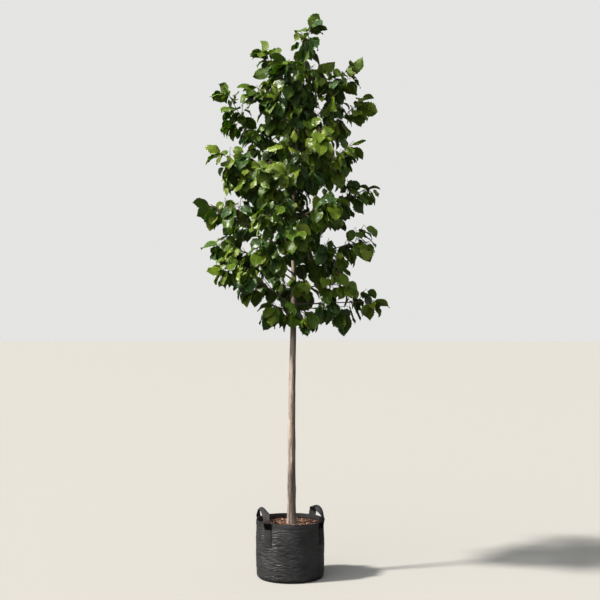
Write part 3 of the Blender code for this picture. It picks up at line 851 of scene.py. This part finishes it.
def sew(line, runs, stitches):
    """Stitches along both edges of a strap's sewn ends, with two crossed boxes on each."""
    edge = STRAP_WIDTH / 2 - SEAM_INSET
    for (centre, along, across, face, _), run in zip(line, runs):
        depth = min(run, runs[-1] - run)
        if centre.z > SEWN_TO or depth % STITCH_STEP >= runs[1] - runs[0]:
            continue
        seams = [(-edge, along), (edge, along)]
        for low in (BOX_INSET, BAG_HEIGHT - STRAP_END - HEM_HEIGHT - BOX_SIDE):
            if low < depth < low + BOX_SIDE:
                for sign in (-1, 1):
                    slant = across * sign * edge * (1 if run == depth else -1)
                    way = (along * BOX_SIDE / 2 + slant).normalized()
                    seams.append((sign * edge * (2 * (depth - low) / BOX_SIDE - 1), way))
        for u, way in seams:
            bow = u * u / (2 * BAG_RADIUS)
            spot = centre + across * u + face * (STRAP_THICK / 2 - bow + THREAD * STITCH_LIFT)
            add_stitch(stitches, spot, way, face)


def straps(webbings, thread):
    stitches = Heap()
    for name, side_angle in HANDLES:
        strap(name, side_angle, webbings, stitches)
    stitches.piece("strap_stitches", [thread])


def mulch_level(radius, turn):
    """The height of the mulch: a shallow dome with lumps."""
    share = radius / BAG_RADIUS
    return SOIL_LEVEL - SOIL_DISH * share**2 + SOIL_LUMPS * noise.noise(on_ring(radius, turn) * 30)


def mulch(fines, chip_finishes):
    edge = float(bag_radius(SOIL_LEVEL)) - BAG_WALL
    bed = Heap()
    turns = np.arange(MULCH_COLUMNS) * tau / MULCH_COLUMNS
    rings = [[on_ring(r, a, mulch_level(r, a)) for a in turns] for r in np.linspace(0.004, edge, MULCH_ROWS)]
    rings.append([on_ring(edge, a, SOIL_LEVEL - MULCH_DEPTH) for a in turns])
    bed.add(rings, grid_faces(len(rings), MULCH_COLUMNS, round_off=True)[0][:, ::-1])
    bed.piece("mulch_bed", [fines], ["soil"], sharp=80)

    chips = Heap()
    chance = random.Random(11)
    draw = chance.uniform
    for _ in range(CHIPS):
        radius = (edge - CHIP_INSET) * sqrt(draw(0.012, 1))
        turn = draw(0, tau)
        length = draw(0.006, 0.019)
        width = length * draw(0.30, 0.60)
        thick = draw(0.0012, 0.0032)
        spot = on_ring(radius, turn, mulch_level(radius, turn))
        spot.z += thick * 0.4
        spin = Quaternion(UP, draw(0, tau))
        tilt = Quaternion(on_ring(1, turn), chance.gauss(0, CHIP_TILT))
        tip = Quaternion(Vector((-sin(turn), cos(turn), 0)), chance.gauss(0, CHIP_TILT))
        points, places = [], []
        for u, v in ((-1, -0.6), (0.1, -1), (1, -0.5), (1, 0.4), (0, 1), (-1, 0.5)):
            for up in (-1, 1):
                x = draw(0.75, 1.1) * u * length / 2
                y = draw(0.7, 1.15) * v * width / 2
                shift = Vector((x, y, up * thick / 2))
                points.append(spot + tip @ tilt @ spin @ shift)
                places.append((shift.y + turn, shift.x + radius))
        sides = [(2 * k, 2 * ((k + 1) % 6), 2 * ((k + 1) % 6) + 1, 2 * k + 1) for k in range(6)]
        faces = np.array(sides + [(1, 3, 5, 7), (1, 7, 9, 11), (0, 6, 4, 2), (0, 10, 8, 6)])
        kind = chance.choices(range(len(chip_finishes)), CHIP_SHARES)[0]
        chips.add(points, faces, kind, np.array(places)[faces])
    chips.piece("mulch_chips", chip_finishes, sharp=25)


# ---------------------------------------------------------------- the limbs' lines, as in the source


def trunk_centre(height):
    """The trunk stands nearly upright and its leader sweeps to the right near the top."""
    above_bag = height - SOIL_LEVEL
    sweep = max(0, (height - SWEEP_FROM) / SWEEP_HEIGHT)
    across = 0.005 + 0.010 * above_bag + SWEEP * sweep**2 + 0.002 * sin(5.2 * height)
    return Vector((across, 0.003 * sin(3.1 * height + 0.6), height))


def trunk_radius(height):
    share = (height - SOIL_LEVEL) / (TRUNK_TOP - SOIL_LEVEL)
    flare = FLARE * exp(-(height - SOIL_LEVEL) / FLARE_HEIGHT)
    return TRUNK_RADIUS + (TRUNK_TIP_RADIUS - TRUNK_RADIUS) * share + flare


def arc(start, bend, end, t):
    return start * (1 - t) ** 2 + bend * 2 * t * (1 - t) + end * t**2


class Bough:
    """One limb's line, from the trunk's centre to its tip. The first part is bare, the rest bears leaves."""

    twiggy = True

    def __init__(self, name, foot, across, back, up, climb):
        self.name = name
        self.foot = foot
        self.start = trunk_centre(foot)
        self.end = Vector((across, back, up))
        way = self.end - self.start
        self.bend = self.start + Vector((way.x / 2, way.y / 2, way.z * climb))
        steps = range(LINE_STEPS)
        self.length = sum((self.at((i + 1) / LINE_STEPS) - self.at(i / LINE_STEPS)).length for i in steps)
        self.foot_radius = trunk_radius(foot) * BOUGH_SHARE
        self.bare = 0.0 if self.length < SHORT_BOUGH else BARE_REACH / self.length
        inner = 0.8 * self.bare
        shares = range(LINE_SPOTS + 1)
        self.spots = np.array([self.at(inner + (1 - inner) * i / LINE_SPOTS) for i in shares])

    def at(self, t):
        return arc(self.start, self.bend, self.end, t)

    def along(self, t):
        return ((self.bend - self.start) * (1 - t) + (self.end - self.bend) * t).normalized()

    def radius(self, t):
        collar = COLLAR * exp(-t * self.length / COLLAR_LENGTH)
        taper = self.foot_radius + (BOUGH_TIP_RADIUS - self.foot_radius) * t**0.7
        return taper * (1 + collar)


class Leader(Bough):
    """The last of the trunk's line, above the trunk's tip. The top mass has leaves and no twigs."""

    twiggy = False

    def __init__(self):
        tip = trunk_centre(LEADER_TOP)
        super().__init__("leader", TRUNK_TOP + GAP, tip.x, tip.y, tip.z, 0.5)
        self.foot_radius = TRUNK_TIP_RADIUS
        self.bare = 0.0

    def radius(self, t):
        return self.foot_radius + (BOUGH_TIP_RADIUS - self.foot_radius) * t


# ---------------------------------------------------------------- foliage, by the source's rule


def ring_points(centre, along, radius, sides):
    side = along.cross(Vector((0.31, 0.95, 0.05))).normalized()
    other = along.cross(side)
    turns = (tau * i / sides for i in range(sides))
    return [centre + radius * (cos(a) * side + sin(a) * other) for a in turns]


def plain_tube(centres, alongs, radii, sides):
    """Points and faces of a coarse tube, as the solids have, to test against."""
    points = []
    for centre, along, radius in zip(centres, alongs, radii):
        points += ring_points(centre, along, radius, sides)
    faces, _ = grid_faces(len(centres), sides, round_off=True)
    last = len(points) - sides
    return points, faces.tolist() + [list(range(sides)), list(range(last, last + sides))]


def spray_shape(root, along, face, length, grow=0.0):
    """Points and faces of the space that a leaf takes: an ovate blade folded under its midrib."""
    across = along.cross(face).normalized()
    face = across.cross(along)
    scale = length / SPRAY_LENGTH
    half = SPRAY_WIDTH * scale / 2 + grow
    fold = SPRAY_FOLD * scale + grow
    low, high, rise = -grow / length, 1 + grow / length, 0.8 * fold
    places = ((0, low, -grow), (-0.84, 0.34, fold), (-0.96, 0.62, rise), (0, high, -grow))
    places += ((0.96, 0.62, rise), (0.84, 0.34, fold))
    points = [root + across * (u * half) + along * (v * length) + face * lift for u, v, lift in places]
    upper = [(0, 5, 1), (1, 5, 4), (1, 4, 2), (2, 4, 3)]
    under = [(0, 1, 3), (1, 2, 3), (0, 3, 5), (3, 4, 5)]
    return points, upper + under


def twig_shape(root, along, length, radius, grow=0.0):
    points = ring_points(root, along, radius + grow, 3) + [root + along * (length + grow)]
    return points, [(0, 2, 1), (0, 1, 3), (1, 2, 3), (2, 0, 3)]


def level_side(along):
    """The level way square to a limb's, or any level way where the limb stands upright."""
    side = along.cross(UP)
    return side.normalized() if side.length > 0.1 else Vector((1, 0, 0))


def leaf_direction(radial, outward, share, climb):
    """A leaf's way. share is 0 at a shoot's foot, where leaves hang, and 1 at its tip."""
    flat = Vector((radial.x, radial.y, 0)) + 0.40 * outward
    flat = flat.normalized() if flat.length > 1e-6 else outward
    young = YOUNG_LEAF_FALL - max(0, climb) ** 1.5 * YOUNG_LEAF_LIFT
    fall = OLD_LEAF_FALL + (young - OLD_LEAF_FALL) * share**1.5
    return flat * cos(fall) - UP * sin(fall)


def outward_from(spot, radial):
    outward = Vector((spot.x, spot.y, 0))
    return outward.normalized() if outward.length > 0.02 else Vector((radial.x, radial.y, 0))


def nearest(spots, point):
    """How far the nearest of the spots is."""
    return np.sqrt(((spots - point) ** 2).sum(1).min())


class Neighbours:
    """What stands already, to keep each leaf and twig clear of everything but the limb that it grows from."""

    def __init__(self):
        self.trees = []
        self.lows, self.highs = np.zeros((2, MOST_NEIGHBOURS, 3))

    def add(self, points, faces, owner=None):
        spots = np.array(points)
        self.lows[len(self.trees)] = spots.min(0)
        self.highs[len(self.trees)] = spots.max(0)
        self.trees.append((BVHTree.FromPolygons(points, faces), owner))

    def clear(self, points, faces, owner):
        spots = np.array(points)
        count = len(self.trees)
        near = (spots.min(0) <= self.highs[:count]).all(1) & (spots.max(0) >= self.lows[:count]).all(1)
        others = [tree for tree, whose in (self.trees[i] for i in np.flatnonzero(near)) if whose != owner]
        tree = BVHTree.FromPolygons(points, faces) if others else None
        return not any(tree.overlap(other) for other in others)


class Leaf(namedtuple("Leaf", "spot limb reach along face size share owner radial")):
    """Where one leaf grows: its spot on a limb, the limb's way there, and the blade's way, face and size."""

    def blade(self):
        """The blade's foot, past the leaf's stalk, and its length."""
        stalk = PETIOLE * self.size * (1.15 - 0.3 * self.share)
        return self.spot + self.along * (self.reach + stalk), BLADE_LENGTH * self.size

    def space(self):
        """Points and faces of the space that the real leaf takes."""
        foot, length = self.blade()
        return spray_shape(foot, self.along, self.face, LEAF_TOUCH * length)


class Mass:
    """The foliage that goes on from one bough: its twigs and the places of its leaves."""

    def __init__(self, bough, others, neighbours, fine, seed):
        self.bough = bough
        self.others = np.concatenate([other.spots for other in others])
        self.neighbours = neighbours
        self.fine = fine
        self.stem = (bough.name, "stem")
        self.chance = random.Random(seed)
        self.draw = self.chance.uniform
        self.twigs = []
        self.leaves = []

    def in_own_space(self, points):
        """Whether every point is within reach of this bough's line and not deep in another's space."""
        for point in np.array(points):
            own, other = (nearest(spots, point) for spots in (self.bough.spots, self.others))
            if own > MASS_RADIUS or other < own - SPACE_SLACK:
                return False
        return True

    def fits(self, space, shape, skip, owner):
        """Whether a shape, past its first points, keeps to this mass's space and clear of its neighbours."""
        return self.in_own_space(shape[0][skip:]) and space.clear(*shape, owner)

    def loosely(self, reach):
        return Vector([self.draw(-reach, reach) for _ in range(3)])

    def add_leaf(self, spot, radius, radial, share, limb, owner, lead=0.0):
        """A leaf from the limb at spot, turned and shrunk a little until it stands clear, or left out."""
        outward = outward_from(spot, radial)
        size = self.draw(*SPRAY_SIZES)
        for attempt in range(LEAF_TRIES):
            turn = self.draw(-0.30, 0.30) + (0.45 * attempt) * (-1) ** attempt
            spun = radial.copy()
            spun.rotate(Quaternion(UP, turn))
            along = leaf_direction(spun, outward, share, limb.z)
            along = along.lerp(limb, lead).normalized()
            face = UP * 0.4 + outward * 0.3 + radial * 0.3 + self.loosely(0.8)
            length = SPRAY_LENGTH * size * (1 - 0.03 * attempt)
            reach = max(0, radius - LEAF_SINK)
            root = spot + along * reach
            if self.fits(self.neighbours, spray_shape(root, along, face, length, SPRAY_ROOM), 1, owner):
                self.neighbours.add(*spray_shape(root, along, face, length))
                size = length / SPRAY_LENGTH
                self.leaves.append(Leaf(spot, limb, reach, along, face, size, share, owner, radial))
                return

    def add_twig(self, root, along, length, number):
        """One twig with leaves to either side and near its tip."""
        owner = (self.bough.name, number)
        test = twig_shape(root, along, length, TWIG_RADIUS, SPRAY_ROOM)
        if not self.fits(self.neighbours, test, 3, self.stem):
            return False
        self.neighbours.add(*twig_shape(root, along, length, TWIG_RADIUS), owner)
        self.twigs.append((root, along, length, owner))
        side = level_side(along)
        side.rotate(Quaternion(along, self.draw(-0.6, 0.6)))
        for i in range(TWIG_LEAVES):
            share = (i + 1) / TWIG_LEAVES
            spot = root + along * length * (0.20 + 0.68 * share)
            radial = side * (-1) ** i + along * (1.2 if share == 1 else 0.4)
            self.add_leaf(spot, 0, radial.normalized(), 0.6 * share, along, owner)
        return True

    def grow(self):
        bough = self.bough
        first = max(bough.bare * bough.length, 0.02) + NODE_SPACING * 0.6
        count = max(2, round((bough.length - first) / NODE_SPACING))
        for i in range(count):
            share = i / count
            t = (first + (bough.length - first) * share) / bough.length
            spot = bough.at(t)
            along = bough.along(t)
            side = level_side(along)
            turn = GOLDEN_TURN * i + self.draw(-0.3, 0.3)
            radial = side * cos(turn) + side.cross(along) * sin(turn)
            if bough.twiggy and i % TWIG_EVERY == 0 and share < 0.8:
                way = along * cos(TWIG_ANGLE) + radial * sin(TWIG_ANGLE)
                way = (way + UP * 0.25).normalized()
                length = TWIG_LENGTH * (1 - 0.45 * share) * self.draw(0.8, 1.15)
                if self.add_twig(spot, way, length, i):
                    continue
            self.add_leaf(spot, bough.radius(t), radial, share, along, self.stem)
        end = bough.along(1)
        spot = bough.at(1) - end * 0.003
        start = self.draw(0, 2)
        for i, lead in enumerate(TIP_LEADS):
            side = on_ring(1, start + i * tau / len(TIP_LEADS))
            self.add_leaf(spot, 0, (side + end).normalized(), 1, end, self.stem, lead)

    # The rule carried on: finer twigs and leaves beside the first ones, wherever there is room

    def add_real_leaf(self, spot, limb, reach, radial, share, owner, size, tries=5):
        """A leaf of the real size near spot, if one can stand clear."""
        outward = outward_from(spot, radial)
        for attempt in range(tries):
            spun = radial.copy()
            spun.rotate(Quaternion(UP, self.draw(-0.4, 0.4) + 0.5 * attempt * (-1) ** attempt))
            along = leaf_direction(spun, outward, share, limb.z)
            along = (along + self.loosely(0.2)).normalized()
            face = UP * 0.4 + outward * 0.4 + radial * 0.2 + self.loosely(0.7)
            leaf = Leaf(spot, limb, reach, along, face, size * (1 - 0.05 * attempt), share, owner, radial)
            if self.fits(self.fine, leaf.space(), 1, owner):
                self.fine.add(*leaf.space())
                self.leaves.append(leaf)
                return True
        return False

    def carry_on(self):
        first = list(self.leaves)
        for leaf in first:
            self.fine.add(*leaf.space())
        for number, leaf in enumerate(first):
            turned = leaf.radial.copy()
            turned.rotate(Quaternion(leaf.limb, self.chance.choice((-1, 1)) * self.draw(1.0, 2.2)))
            spot = leaf.spot + leaf.limb * self.draw(-0.018, -0.008)
            if not self.add_twiglet(spot, leaf.limb, turned, leaf.owner, leaf.share, number):
                size = self.draw(0.50, 0.80) + 0.20 * leaf.share
                self.add_real_leaf(spot, leaf.limb, leaf.reach, turned, leaf.share, leaf.owner, size)
            if leaf.share > 0.55:
                size = YOUNG_LEAF * self.draw(0.7, 1.2)
                self.add_real_leaf(leaf.spot, leaf.limb, 0, turned, 1.0, leaf.owner, size, tries=3)

    def add_twiglet(self, spot, limb, radial, host, share, number):
        """A fine side twig with two or three leaves, from the limb whose owner is host."""
        way = (limb * 0.6 + radial * 0.8 + UP * 0.15).normalized()
        length = TWIGLET_LENGTH * self.draw(0.7, 1.25)
        owner = (self.bough.name, "fine", number)
        shape = twig_shape(spot, way, length, TWIGLET_RADIUS)
        if not self.fits(self.fine, shape, 3, host):
            return False
        self.fine.add(*shape, owner)
        grown = 0
        side = level_side(way)
        for i, reach in enumerate((0.45, 0.75, 1.0)):
            outer = (side * (-1) ** i + way * (1.2 if reach == 1 else 0.4)).normalized()
            size = self.draw(0.52, 0.88)
            where = spot + way * length * reach
            grown += self.add_real_leaf(where, way, 0, outer, 0.3 + 0.5 * share, owner, size)
        if grown:
            self.twigs.append((spot, way, length, owner))
        return grown > 0


def grow_spurs(masses):
    """Short leafy spurs straight from the trunk, all the way up inside the crown."""
    count = round((SPURS_TO - SPURS_FROM) / SPUR_SPACING)
    for i in range(count):
        height = SPURS_FROM + (SPURS_TO - SPURS_FROM) * i / count
        radial = on_ring(1, GOLDEN_TURN * i)
        spot = trunk_centre(height) + radial * trunk_radius(height) * 0.9
        tip = np.array(spot + radial * TWIGLET_LENGTH)
        mass = min(masses, key=lambda mass: nearest(mass.bough.spots, tip))
        mass.add_twiglet(spot, UP * 0.4, radial, "trunk", 0.2, 1000 + i)


def grow_tree():
    """The boughs' lines and the foliage on each, by the source's rule and then carried on."""
    boughs = [Bough(*row) for row in BOUGHS] + [Leader()]
    neighbours, fine = Neighbours(), Neighbours()
    heights = [SOIL_LEVEL + (TRUNK_TOP - SOIL_LEVEL) * i / 27 for i in range(28)]
    radii = [trunk_radius(z) + 0.001 for z in heights]
    shapes = [(plain_tube([trunk_centre(z) for z in heights], [UP] * len(heights), radii, 10), "trunk")]
    shares = [i / 8 for i in range(9)]
    for bough in boughs:
        lines = [[measure(t) for t in shares] for measure in (bough.at, bough.along, bough.radius)]
        shapes.append((plain_tube(*lines, 6), (bough.name, "stem")))
    for shape, owner in shapes:
        neighbours.add(*shape, owner)
        fine.add(*shape, owner)
    masses = []
    for seed, bough in enumerate(boughs):
        others = [other for other in boughs if other is not bough]
        masses.append(Mass(bough, others, neighbours, fine, seed))
        masses[-1].grow()
    for mass in masses:
        for root, along, length, owner in mass.twigs:
            fine.add(*twig_shape(root, along, length, TWIG_RADIUS), owner)
    for mass in masses:
        mass.carry_on()
    grow_spurs(masses)
    return boughs, masses


# ---------------------------------------------------------------- bark, twigs and leaves


def trunk_bark(boughs, bark):
    """The trunk with ribs, shallow dents, old knots, and a swelling under each bough."""
    foot = SOIL_LEVEL - TRUNK_SINK
    count = round((TRUNK_TOP - foot) / TRUNK_RING)
    heights = foot + (TRUNK_TOP - foot) * np.arange(count + 1) / count
    radii = np.array([trunk_radius(max(z, SOIL_LEVEL)) for z in heights])
    turn, height = np.meshgrid(np.arange(TRUNK_SIDES) * tau / TRUNK_SIDES, heights)
    around = on_rings(1, turn, height)
    rib = fuzz(around * (1, 1, 3.0), 2.6, 1.7)
    dent = fuzz(around * (1, 1, 9.0), 1.3, 5.2)
    grain = fuzz(around * (1, 1, 9.0), 7.0, 8.8)
    relief = 1 + RIBS * rib + DENTS * dent + GRAIN * grain
    draw = random.Random(7).uniform
    marks = [(draw(*KNOT_HEIGHTS), draw(0, tau), KNOT_SIZE) for _ in range(KNOTS)]
    side, other = (Vector(way[0]) for way in side_and_other(np.array([[0.0, 0.0, 1.0]])))
    for bough in boughs[:-1]:
        way = bough.along(0)
        marks.append((bough.foot + 0.004, atan2(way.dot(other), way.dot(side)), 1.7 * bough.foot_radius))
    for level, angle, size in marks:
        away = np.hypot(off_turn(turn, angle) * radii[:, None], (height - level) / 1.35)
        swell = np.exp(-((away / size) ** 2)) - 0.55 * np.exp(-((away / (0.42 * size)) ** 2))
        relief = relief + KNOT_DEPTH * swell / radii[:, None]
    roots = ROOTS * np.exp(-(height - SOIL_LEVEL) / ROOT_HEIGHT)
    roots *= np.cos(4 * turn + 0.6 + 0.4 * np.sin(turn))
    heap = Heap()
    relief = relief + np.clip(roots, -0.8 * ROOTS, ROOTS)
    add_tube(heap, [trunk_centre(z) for z in heights], radii, TRUNK_SIDES, relief)
    heap.piece("trunk_bark", [bark], ["trunk"], sharp=80)


def limb_bark(boughs, finish):
    """Each bough from inside the trunk to its tip, with a swelling at each node and a bud at the end."""
    heap = Heap()
    turns = np.arange(BOUGH_SIDES) * tau / BOUGH_SIDES
    for number, bough in enumerate(boughs):
        count = max(12, round(bough.length / BOUGH_RING))
        shares = np.arange(count + 1) / count
        centres = np.array([bough.at(t) for t in shares])
        run = shares * bough.length
        node = np.abs((run + NODE_SHIFT + NODE_SPACING / 2) % NODE_SPACING - NODE_SPACING / 2)
        swell = 1 + NODE_SWELL * np.exp(-((node / NODE_REACH) ** 2)) * (run > NODES_FROM)
        radii = swell * [bough.radius(t) for t in shares]
        sway = np.stack([fuzz(centres, 22, 10 * number + k) for k in range(3)], 1)
        centres += sway * SWAY * np.sin(pi * shares)[:, None]
        turn, along = np.meshgrid(turns, run)
        grain = fuzz(np.stack([np.cos(turn), np.sin(turn) + number, along * 40], -1), 1)
        add_tube(heap, centres, radii, BOUGH_SIDES, 1 + BOUGH_GRAIN * grain)
        add_bud(heap, Vector(centres[-1]), bough.along(1), BUD_RADIUS)
    heap.piece("bough_bark", [finish], nodes_called("bough_"), sharp=70)


def add_bud(heap, spot, along, radius):
    """A pointed bud on a shoot's end."""
    centres = [spot + along * radius * 5 * s for s in (0.0, 0.25, 0.55, 0.85)]
    add_tube(heap, centres, [radius * r for r in (0.7, 1.0, 0.85, 0.35)], 6)


def twigs(masses, finish):
    """Slightly crooked twigs, thicker at each leaf, with a bud at the tip."""
    heap = Heap()
    draw = random.Random(3).uniform
    for root, along, length, _ in (twig for mass in masses for twig in mass.twigs):
        fine = length < 0.8 * TWIGLET_LENGTH * 1.3
        foot, tip = TWIGLET_RADII if fine else TWIG_RADII
        side, other = side_and_other(np.array(along))
        lean, bend = [draw(-TWIG_CROOK, TWIG_CROOK) * length for _ in range(2)]
        centres, radii = [], []
        for i in range(TWIG_STEPS + 1):
            s = i / TWIG_STEPS
            bow = sin(pi * s)
            centres.append(np.array(root + along * length * s) + side * lean * bow + other * bend * bow)
            radii.append((foot + (tip - foot) * i / TWIG_STEPS) * (TWIG_SWELL if i in (3, 5, 7) else 1))
        add_tube(heap, centres, radii, 6)
        add_bud(heap, Vector(centres[-1]), along, tip * 1.6)
    heap.piece("twigs", [finish], nodes_called("foliage_"), sharp=70)


def petioles(leaves, finish):
    """The leaf stalks, each an arc from its limb to its blade."""
    heap = Heap()
    shares = [i / PETIOLE_STEPS for i in range(PETIOLE_STEPS + 1)]
    for leaf in leaves:
        foot, _ = leaf.blade()
        bend = leaf.along * 0.45 + leaf.radial * 0.35 + UP * 0.20
        bend = leaf.spot + bend * (foot - leaf.spot).length
        centres = [arc(leaf.spot, bend, foot, s) for s in shares]
        add_tube(heap, centres, [PETIOLE_RADIUS * leaf.size * (1.2 - 0.3 * s) for s in shares], 4)
    heap.piece("leaf_stalks", [finish], sharp=80)


def leaf_kind(draw, rows, across):
    """One leaf blade's points for a blade one unit long, and its faces with their finish numbers.

    across gives where its strips end, as shares of its half width. The margin's top is a painted highlight.
    """
    v = np.linspace(0, 1, rows)
    stops, shares = zip(*LEAF_OUTLINE)
    half = BLADE_SHARE / 2 * np.interp(v, stops, shares)
    row = np.arange(rows)
    alternate = np.where((row > 1) & (row < rows - 2), (-1.0) ** row, 0)
    notches = np.array([draw(0.3, 1.0) for _ in row])
    half *= 1 + TEETH * notches * alternate
    rib = np.minimum(RIB_HALF_WIDTH * (1 - 0.7 * v), 0.4 * half)
    out = half[:, None] * np.array(across)
    u = np.concatenate([-out[:, ::-1], -rib[:, None], rib[:, None], out], 1)
    share = np.abs(u) / half[:, None]
    fold = draw(0.10, 0.70)
    droop = draw(0.30, 1.60)
    lift = fold * np.abs(u) - droop * u**2
    wave = draw(0.018, 0.052)
    pitch, start = draw(1.3, 2.6), draw(0, 6)
    lift += wave * share**2 * np.sin(tau * pitch * v[:, None] + start + 1.3 * np.sign(u))
    lift += PLEAT * alternate[:, None] * (np.abs(share - across[0]) < 0.01)
    lift += draw(-0.006, 0.022) * (share > 0.99)
    bend = draw(0.2, 1.35) * v**1.3
    twist = draw(-0.5, 0.5) * v
    step = 1 / (rows - 1)
    middle = np.stack([0 * v, np.cumsum(np.cos(bend)) * step, -np.cumsum(np.sin(bend)) * step], 1)
    middle -= middle[0]
    chord = atan2(-middle[-1, 2], middle[-1, 1])
    middle[:, 0] += draw(-0.10, 0.10) * v**2

    def lay(u, lift):
        """Points at u across and lift above the blade's middle line."""
        over = u * np.cos(twist)[:, None] - lift * np.sin(twist)[:, None]
        up = u * np.sin(twist)[:, None] + lift * np.cos(twist)[:, None]
        points = np.stack([over, up * np.sin(bend)[:, None], up * np.cos(bend)[:, None]], -1)
        x, y, z = np.moveaxis(points + middle[:, None], -1, 0)
        return np.stack([x, y * cos(chord) - z * sin(chord), y * sin(chord) + z * cos(chord)], -1)

    columns = u.shape[1]
    thick = BLADE_THICK / BLADE_LENGTH
    under_lift = lift - thick - np.where(share < 0.5, RIB_DEPTH * (1 - v[:, None]), 0)
    under = lay(u, under_lift)[1:-1, 1:-1]
    points = np.concatenate([lay(u, lift).reshape(-1, 3), under.reshape(-1, 3)])
    faces, _ = grid_faces(rows, columns)
    below = np.arange(rows * columns).reshape(rows, columns)
    below[1:-1, 1:-1] = rows * columns + np.arange((rows - 2) * (columns - 2)).reshape(rows - 2, -1)
    strip = np.arange(len(faces)) % (columns - 1)
    middle_strip = strip == columns // 2 - 1
    # Slot 3, on the upper side's outer strips, is the margin's painted highlight
    upper = np.where((strip == 0) | (strip == columns - 2), 3, 0)
    slots = np.concatenate([np.where(middle_strip, 2, upper), np.where(middle_strip, 2, 1)])
    return points, np.concatenate([faces, below.ravel()[faces][:, ::-1]]), slots


def leaves(masses):
    """Every leaf at its real size, joined by tint, and the stalks.

    The tints go by spray, from the old and shaded leaves to the young and lit ones.
    """
    chance = random.Random(19)
    kinds = [leaf_kind(chance.uniform, LEAF_ROWS, LEAF_ACROSS) for _ in range(LEAF_KINDS)]
    small_kinds = [leaf_kind(chance.uniform, SMALL_LEAF_ROWS, SMALL_LEAF_ACROSS) for _ in range(LEAF_KINDS)]
    placed = []
    for mass in masses:
        mood = {}
        for leaf in mass.leaves:
            spray = mood.setdefault(leaf.owner, chance.random())
            youth = SPRAY_WEIGHT * spray + PLACE_WEIGHT * leaf.share + OWN_WEIGHT * chance.random()
            placed.append((youth, leaf))
    placed = [leaf for _, leaf in sorted(placed, key=lambda pair: pair[0])]
    rib = leaf_finish("leaf_rib", (0.190, 0.215, 0.070), 0.5, 0.35)
    nodes = nodes_called("foliage_")
    first = 0
    for name, colour, share in LEAF_TINTS:
        last = min(len(placed), first + ceil(share * len(placed)))
        upper = leaf_finish(name + "_leaf", colour, 0.34, 0.36)
        pale = tuple(c * 0.7 + p for c, p in zip(colour, (0.026, 0.034, 0.010)))
        under = leaf_finish(name + "_leaf_underside", pale, 0.62, 0.20)
        # Painted highlight: the margin's top is lighter than the blade, as for edges catching the sun
        edge = tuple(c * 1.5 + p for c, p in zip(colour, (0.036, 0.036, 0.008)))
        margin_highlight = leaf_finish(name + "_leaf_margin_highlight", edge, 0.45, 0.30)
        heap = Heap()
        for leaf in placed[first:last]:
            points, faces, slots = chance.choice(kinds if leaf.size > SMALL_LEAF else small_kinds)
            foot, length = leaf.blade()
            across = leaf.along.cross(leaf.face).normalized()
            axes = np.array([across, leaf.along, across.cross(leaf.along)])
            heap.add(points @ axes * length + np.array(foot), faces, slots)
        heap.piece("leaves_" + name, [upper, under, rib, margin_highlight], nodes, sharp=75)
        first = last
    petioles(placed, rib)


# ---------------------------------------------------------------- studio


def lamp(name, source, strength, softness, colour, glossy):
    """A far light, as wide in the sky as softness. glossy says whether it also shines back as gloss."""
    light = bpy.data.lights.new(name, "SUN")
    light.angle = softness
    light.energy = strength
    light.color = colour
    placed = bpy.data.objects.new(name, light)
    placed.rotation_euler = (-source).to_track_quat("-Z", "Y").to_euler()
    placed.visible_glossy = glossy
    bpy.context.scene.collection.objects.link(placed)


def studio():
    """A plain pale floor and plain soft light, mostly from the upper left."""
    bpy.ops.mesh.primitive_circle_add(vertices=96, radius=FLOOR_RADIUS, fill_type="NGON")
    floor = bpy.context.object
    floor.name = "floor"
    paper = Finish("pale_floor", PAPER, 0.9, 0.2)
    seen = paper.node("LightPath").outputs["Is Camera Ray"]
    paper.shade("Base Color", paper.mix(seen, (*BOUNCE, 1), (*PAPER, 1)))
    floor.data.materials.append(paper.material)
    world = bpy.data.worlds.new("pale_surround")
    sky = Nodes(world)
    dome = sky.tree.nodes["Background"]
    sky.feed(dome, {"Color": (*DOME_COLOUR, 1), "Strength": DOME_STRENGTH})
    backdrop = sky.node("Background", {"Color": (*BACKDROP, 1)})
    seen = sky.node("LightPath").outputs["Is Camera Ray"]
    mix = sky.node("MixShader", {"Fac": seen, 1: dome.outputs[0], 2: backdrop.outputs[0]})
    sky.feed(sky.tree.nodes["World Output"], {"Surface": mix.outputs[0]})
    bpy.context.scene.world = world
    for row in LAMPS:
        lamp(*row)


def camera():
    data = bpy.data.cameras.new("camera")
    data.sensor_width = SENSOR
    data.lens = FOCAL * SENSOR / FRAME_SIDE
    data.clip_end = 200
    eye = bpy.data.objects.new("camera", data)
    eye.location = CAMERA_PLACE
    eye.rotation_euler = (pi / 2 + atan((HORIZON_ROW - FRAME_SIDE / 2) / FOCAL), 0, 0)
    bpy.context.scene.collection.objects.link(eye)
    bpy.context.scene.camera = eye


def main():
    webbing = webbing_finish("black_webbing", (0.014, 0.014, 0.016), (0.032, 0.032, 0.034), 0.25)
    # Painted shadow: a near-black copy of the webbing, for each strap just under the hem
    patch = webbing_finish("strap_painted_shadow", (0.001, 0.001, 0.001), (0.003, 0.003, 0.003), 0.02)
    thread = thread_finish()
    wood = twig_finish("bough_skin", (0.060, 0.042, 0.034), (0.130, 0.098, 0.078))
    shoot = twig_finish("shoot_skin", (0.048, 0.026, 0.020), (0.110, 0.062, 0.044))
    chips = [
        chip_finish("chip_red_brown", (0.058, 0.022, 0.012), (0.150, 0.064, 0.038)),
        chip_finish("chip_dark", (0.018, 0.010, 0.007), (0.052, 0.026, 0.018)),
        chip_finish("chip_tan", (0.110, 0.056, 0.034), (0.240, 0.140, 0.090)),
        chip_finish("chip_pale", (0.280, 0.190, 0.135), (0.520, 0.400, 0.310)),
    ]
    planter_bag(bag_finish(), thread)
    straps([webbing, patch], thread)
    mulch(earth_finish(), chips)
    boughs, masses = grow_tree()
    trunk_bark(boughs, bark_finish())
    limb_bark(boughs, wood)
    twigs(masses, shoot)
    leaves(masses)
    studio()
    camera()


main()
bpy.context.scene.view_settings.view_transform = "Standard"
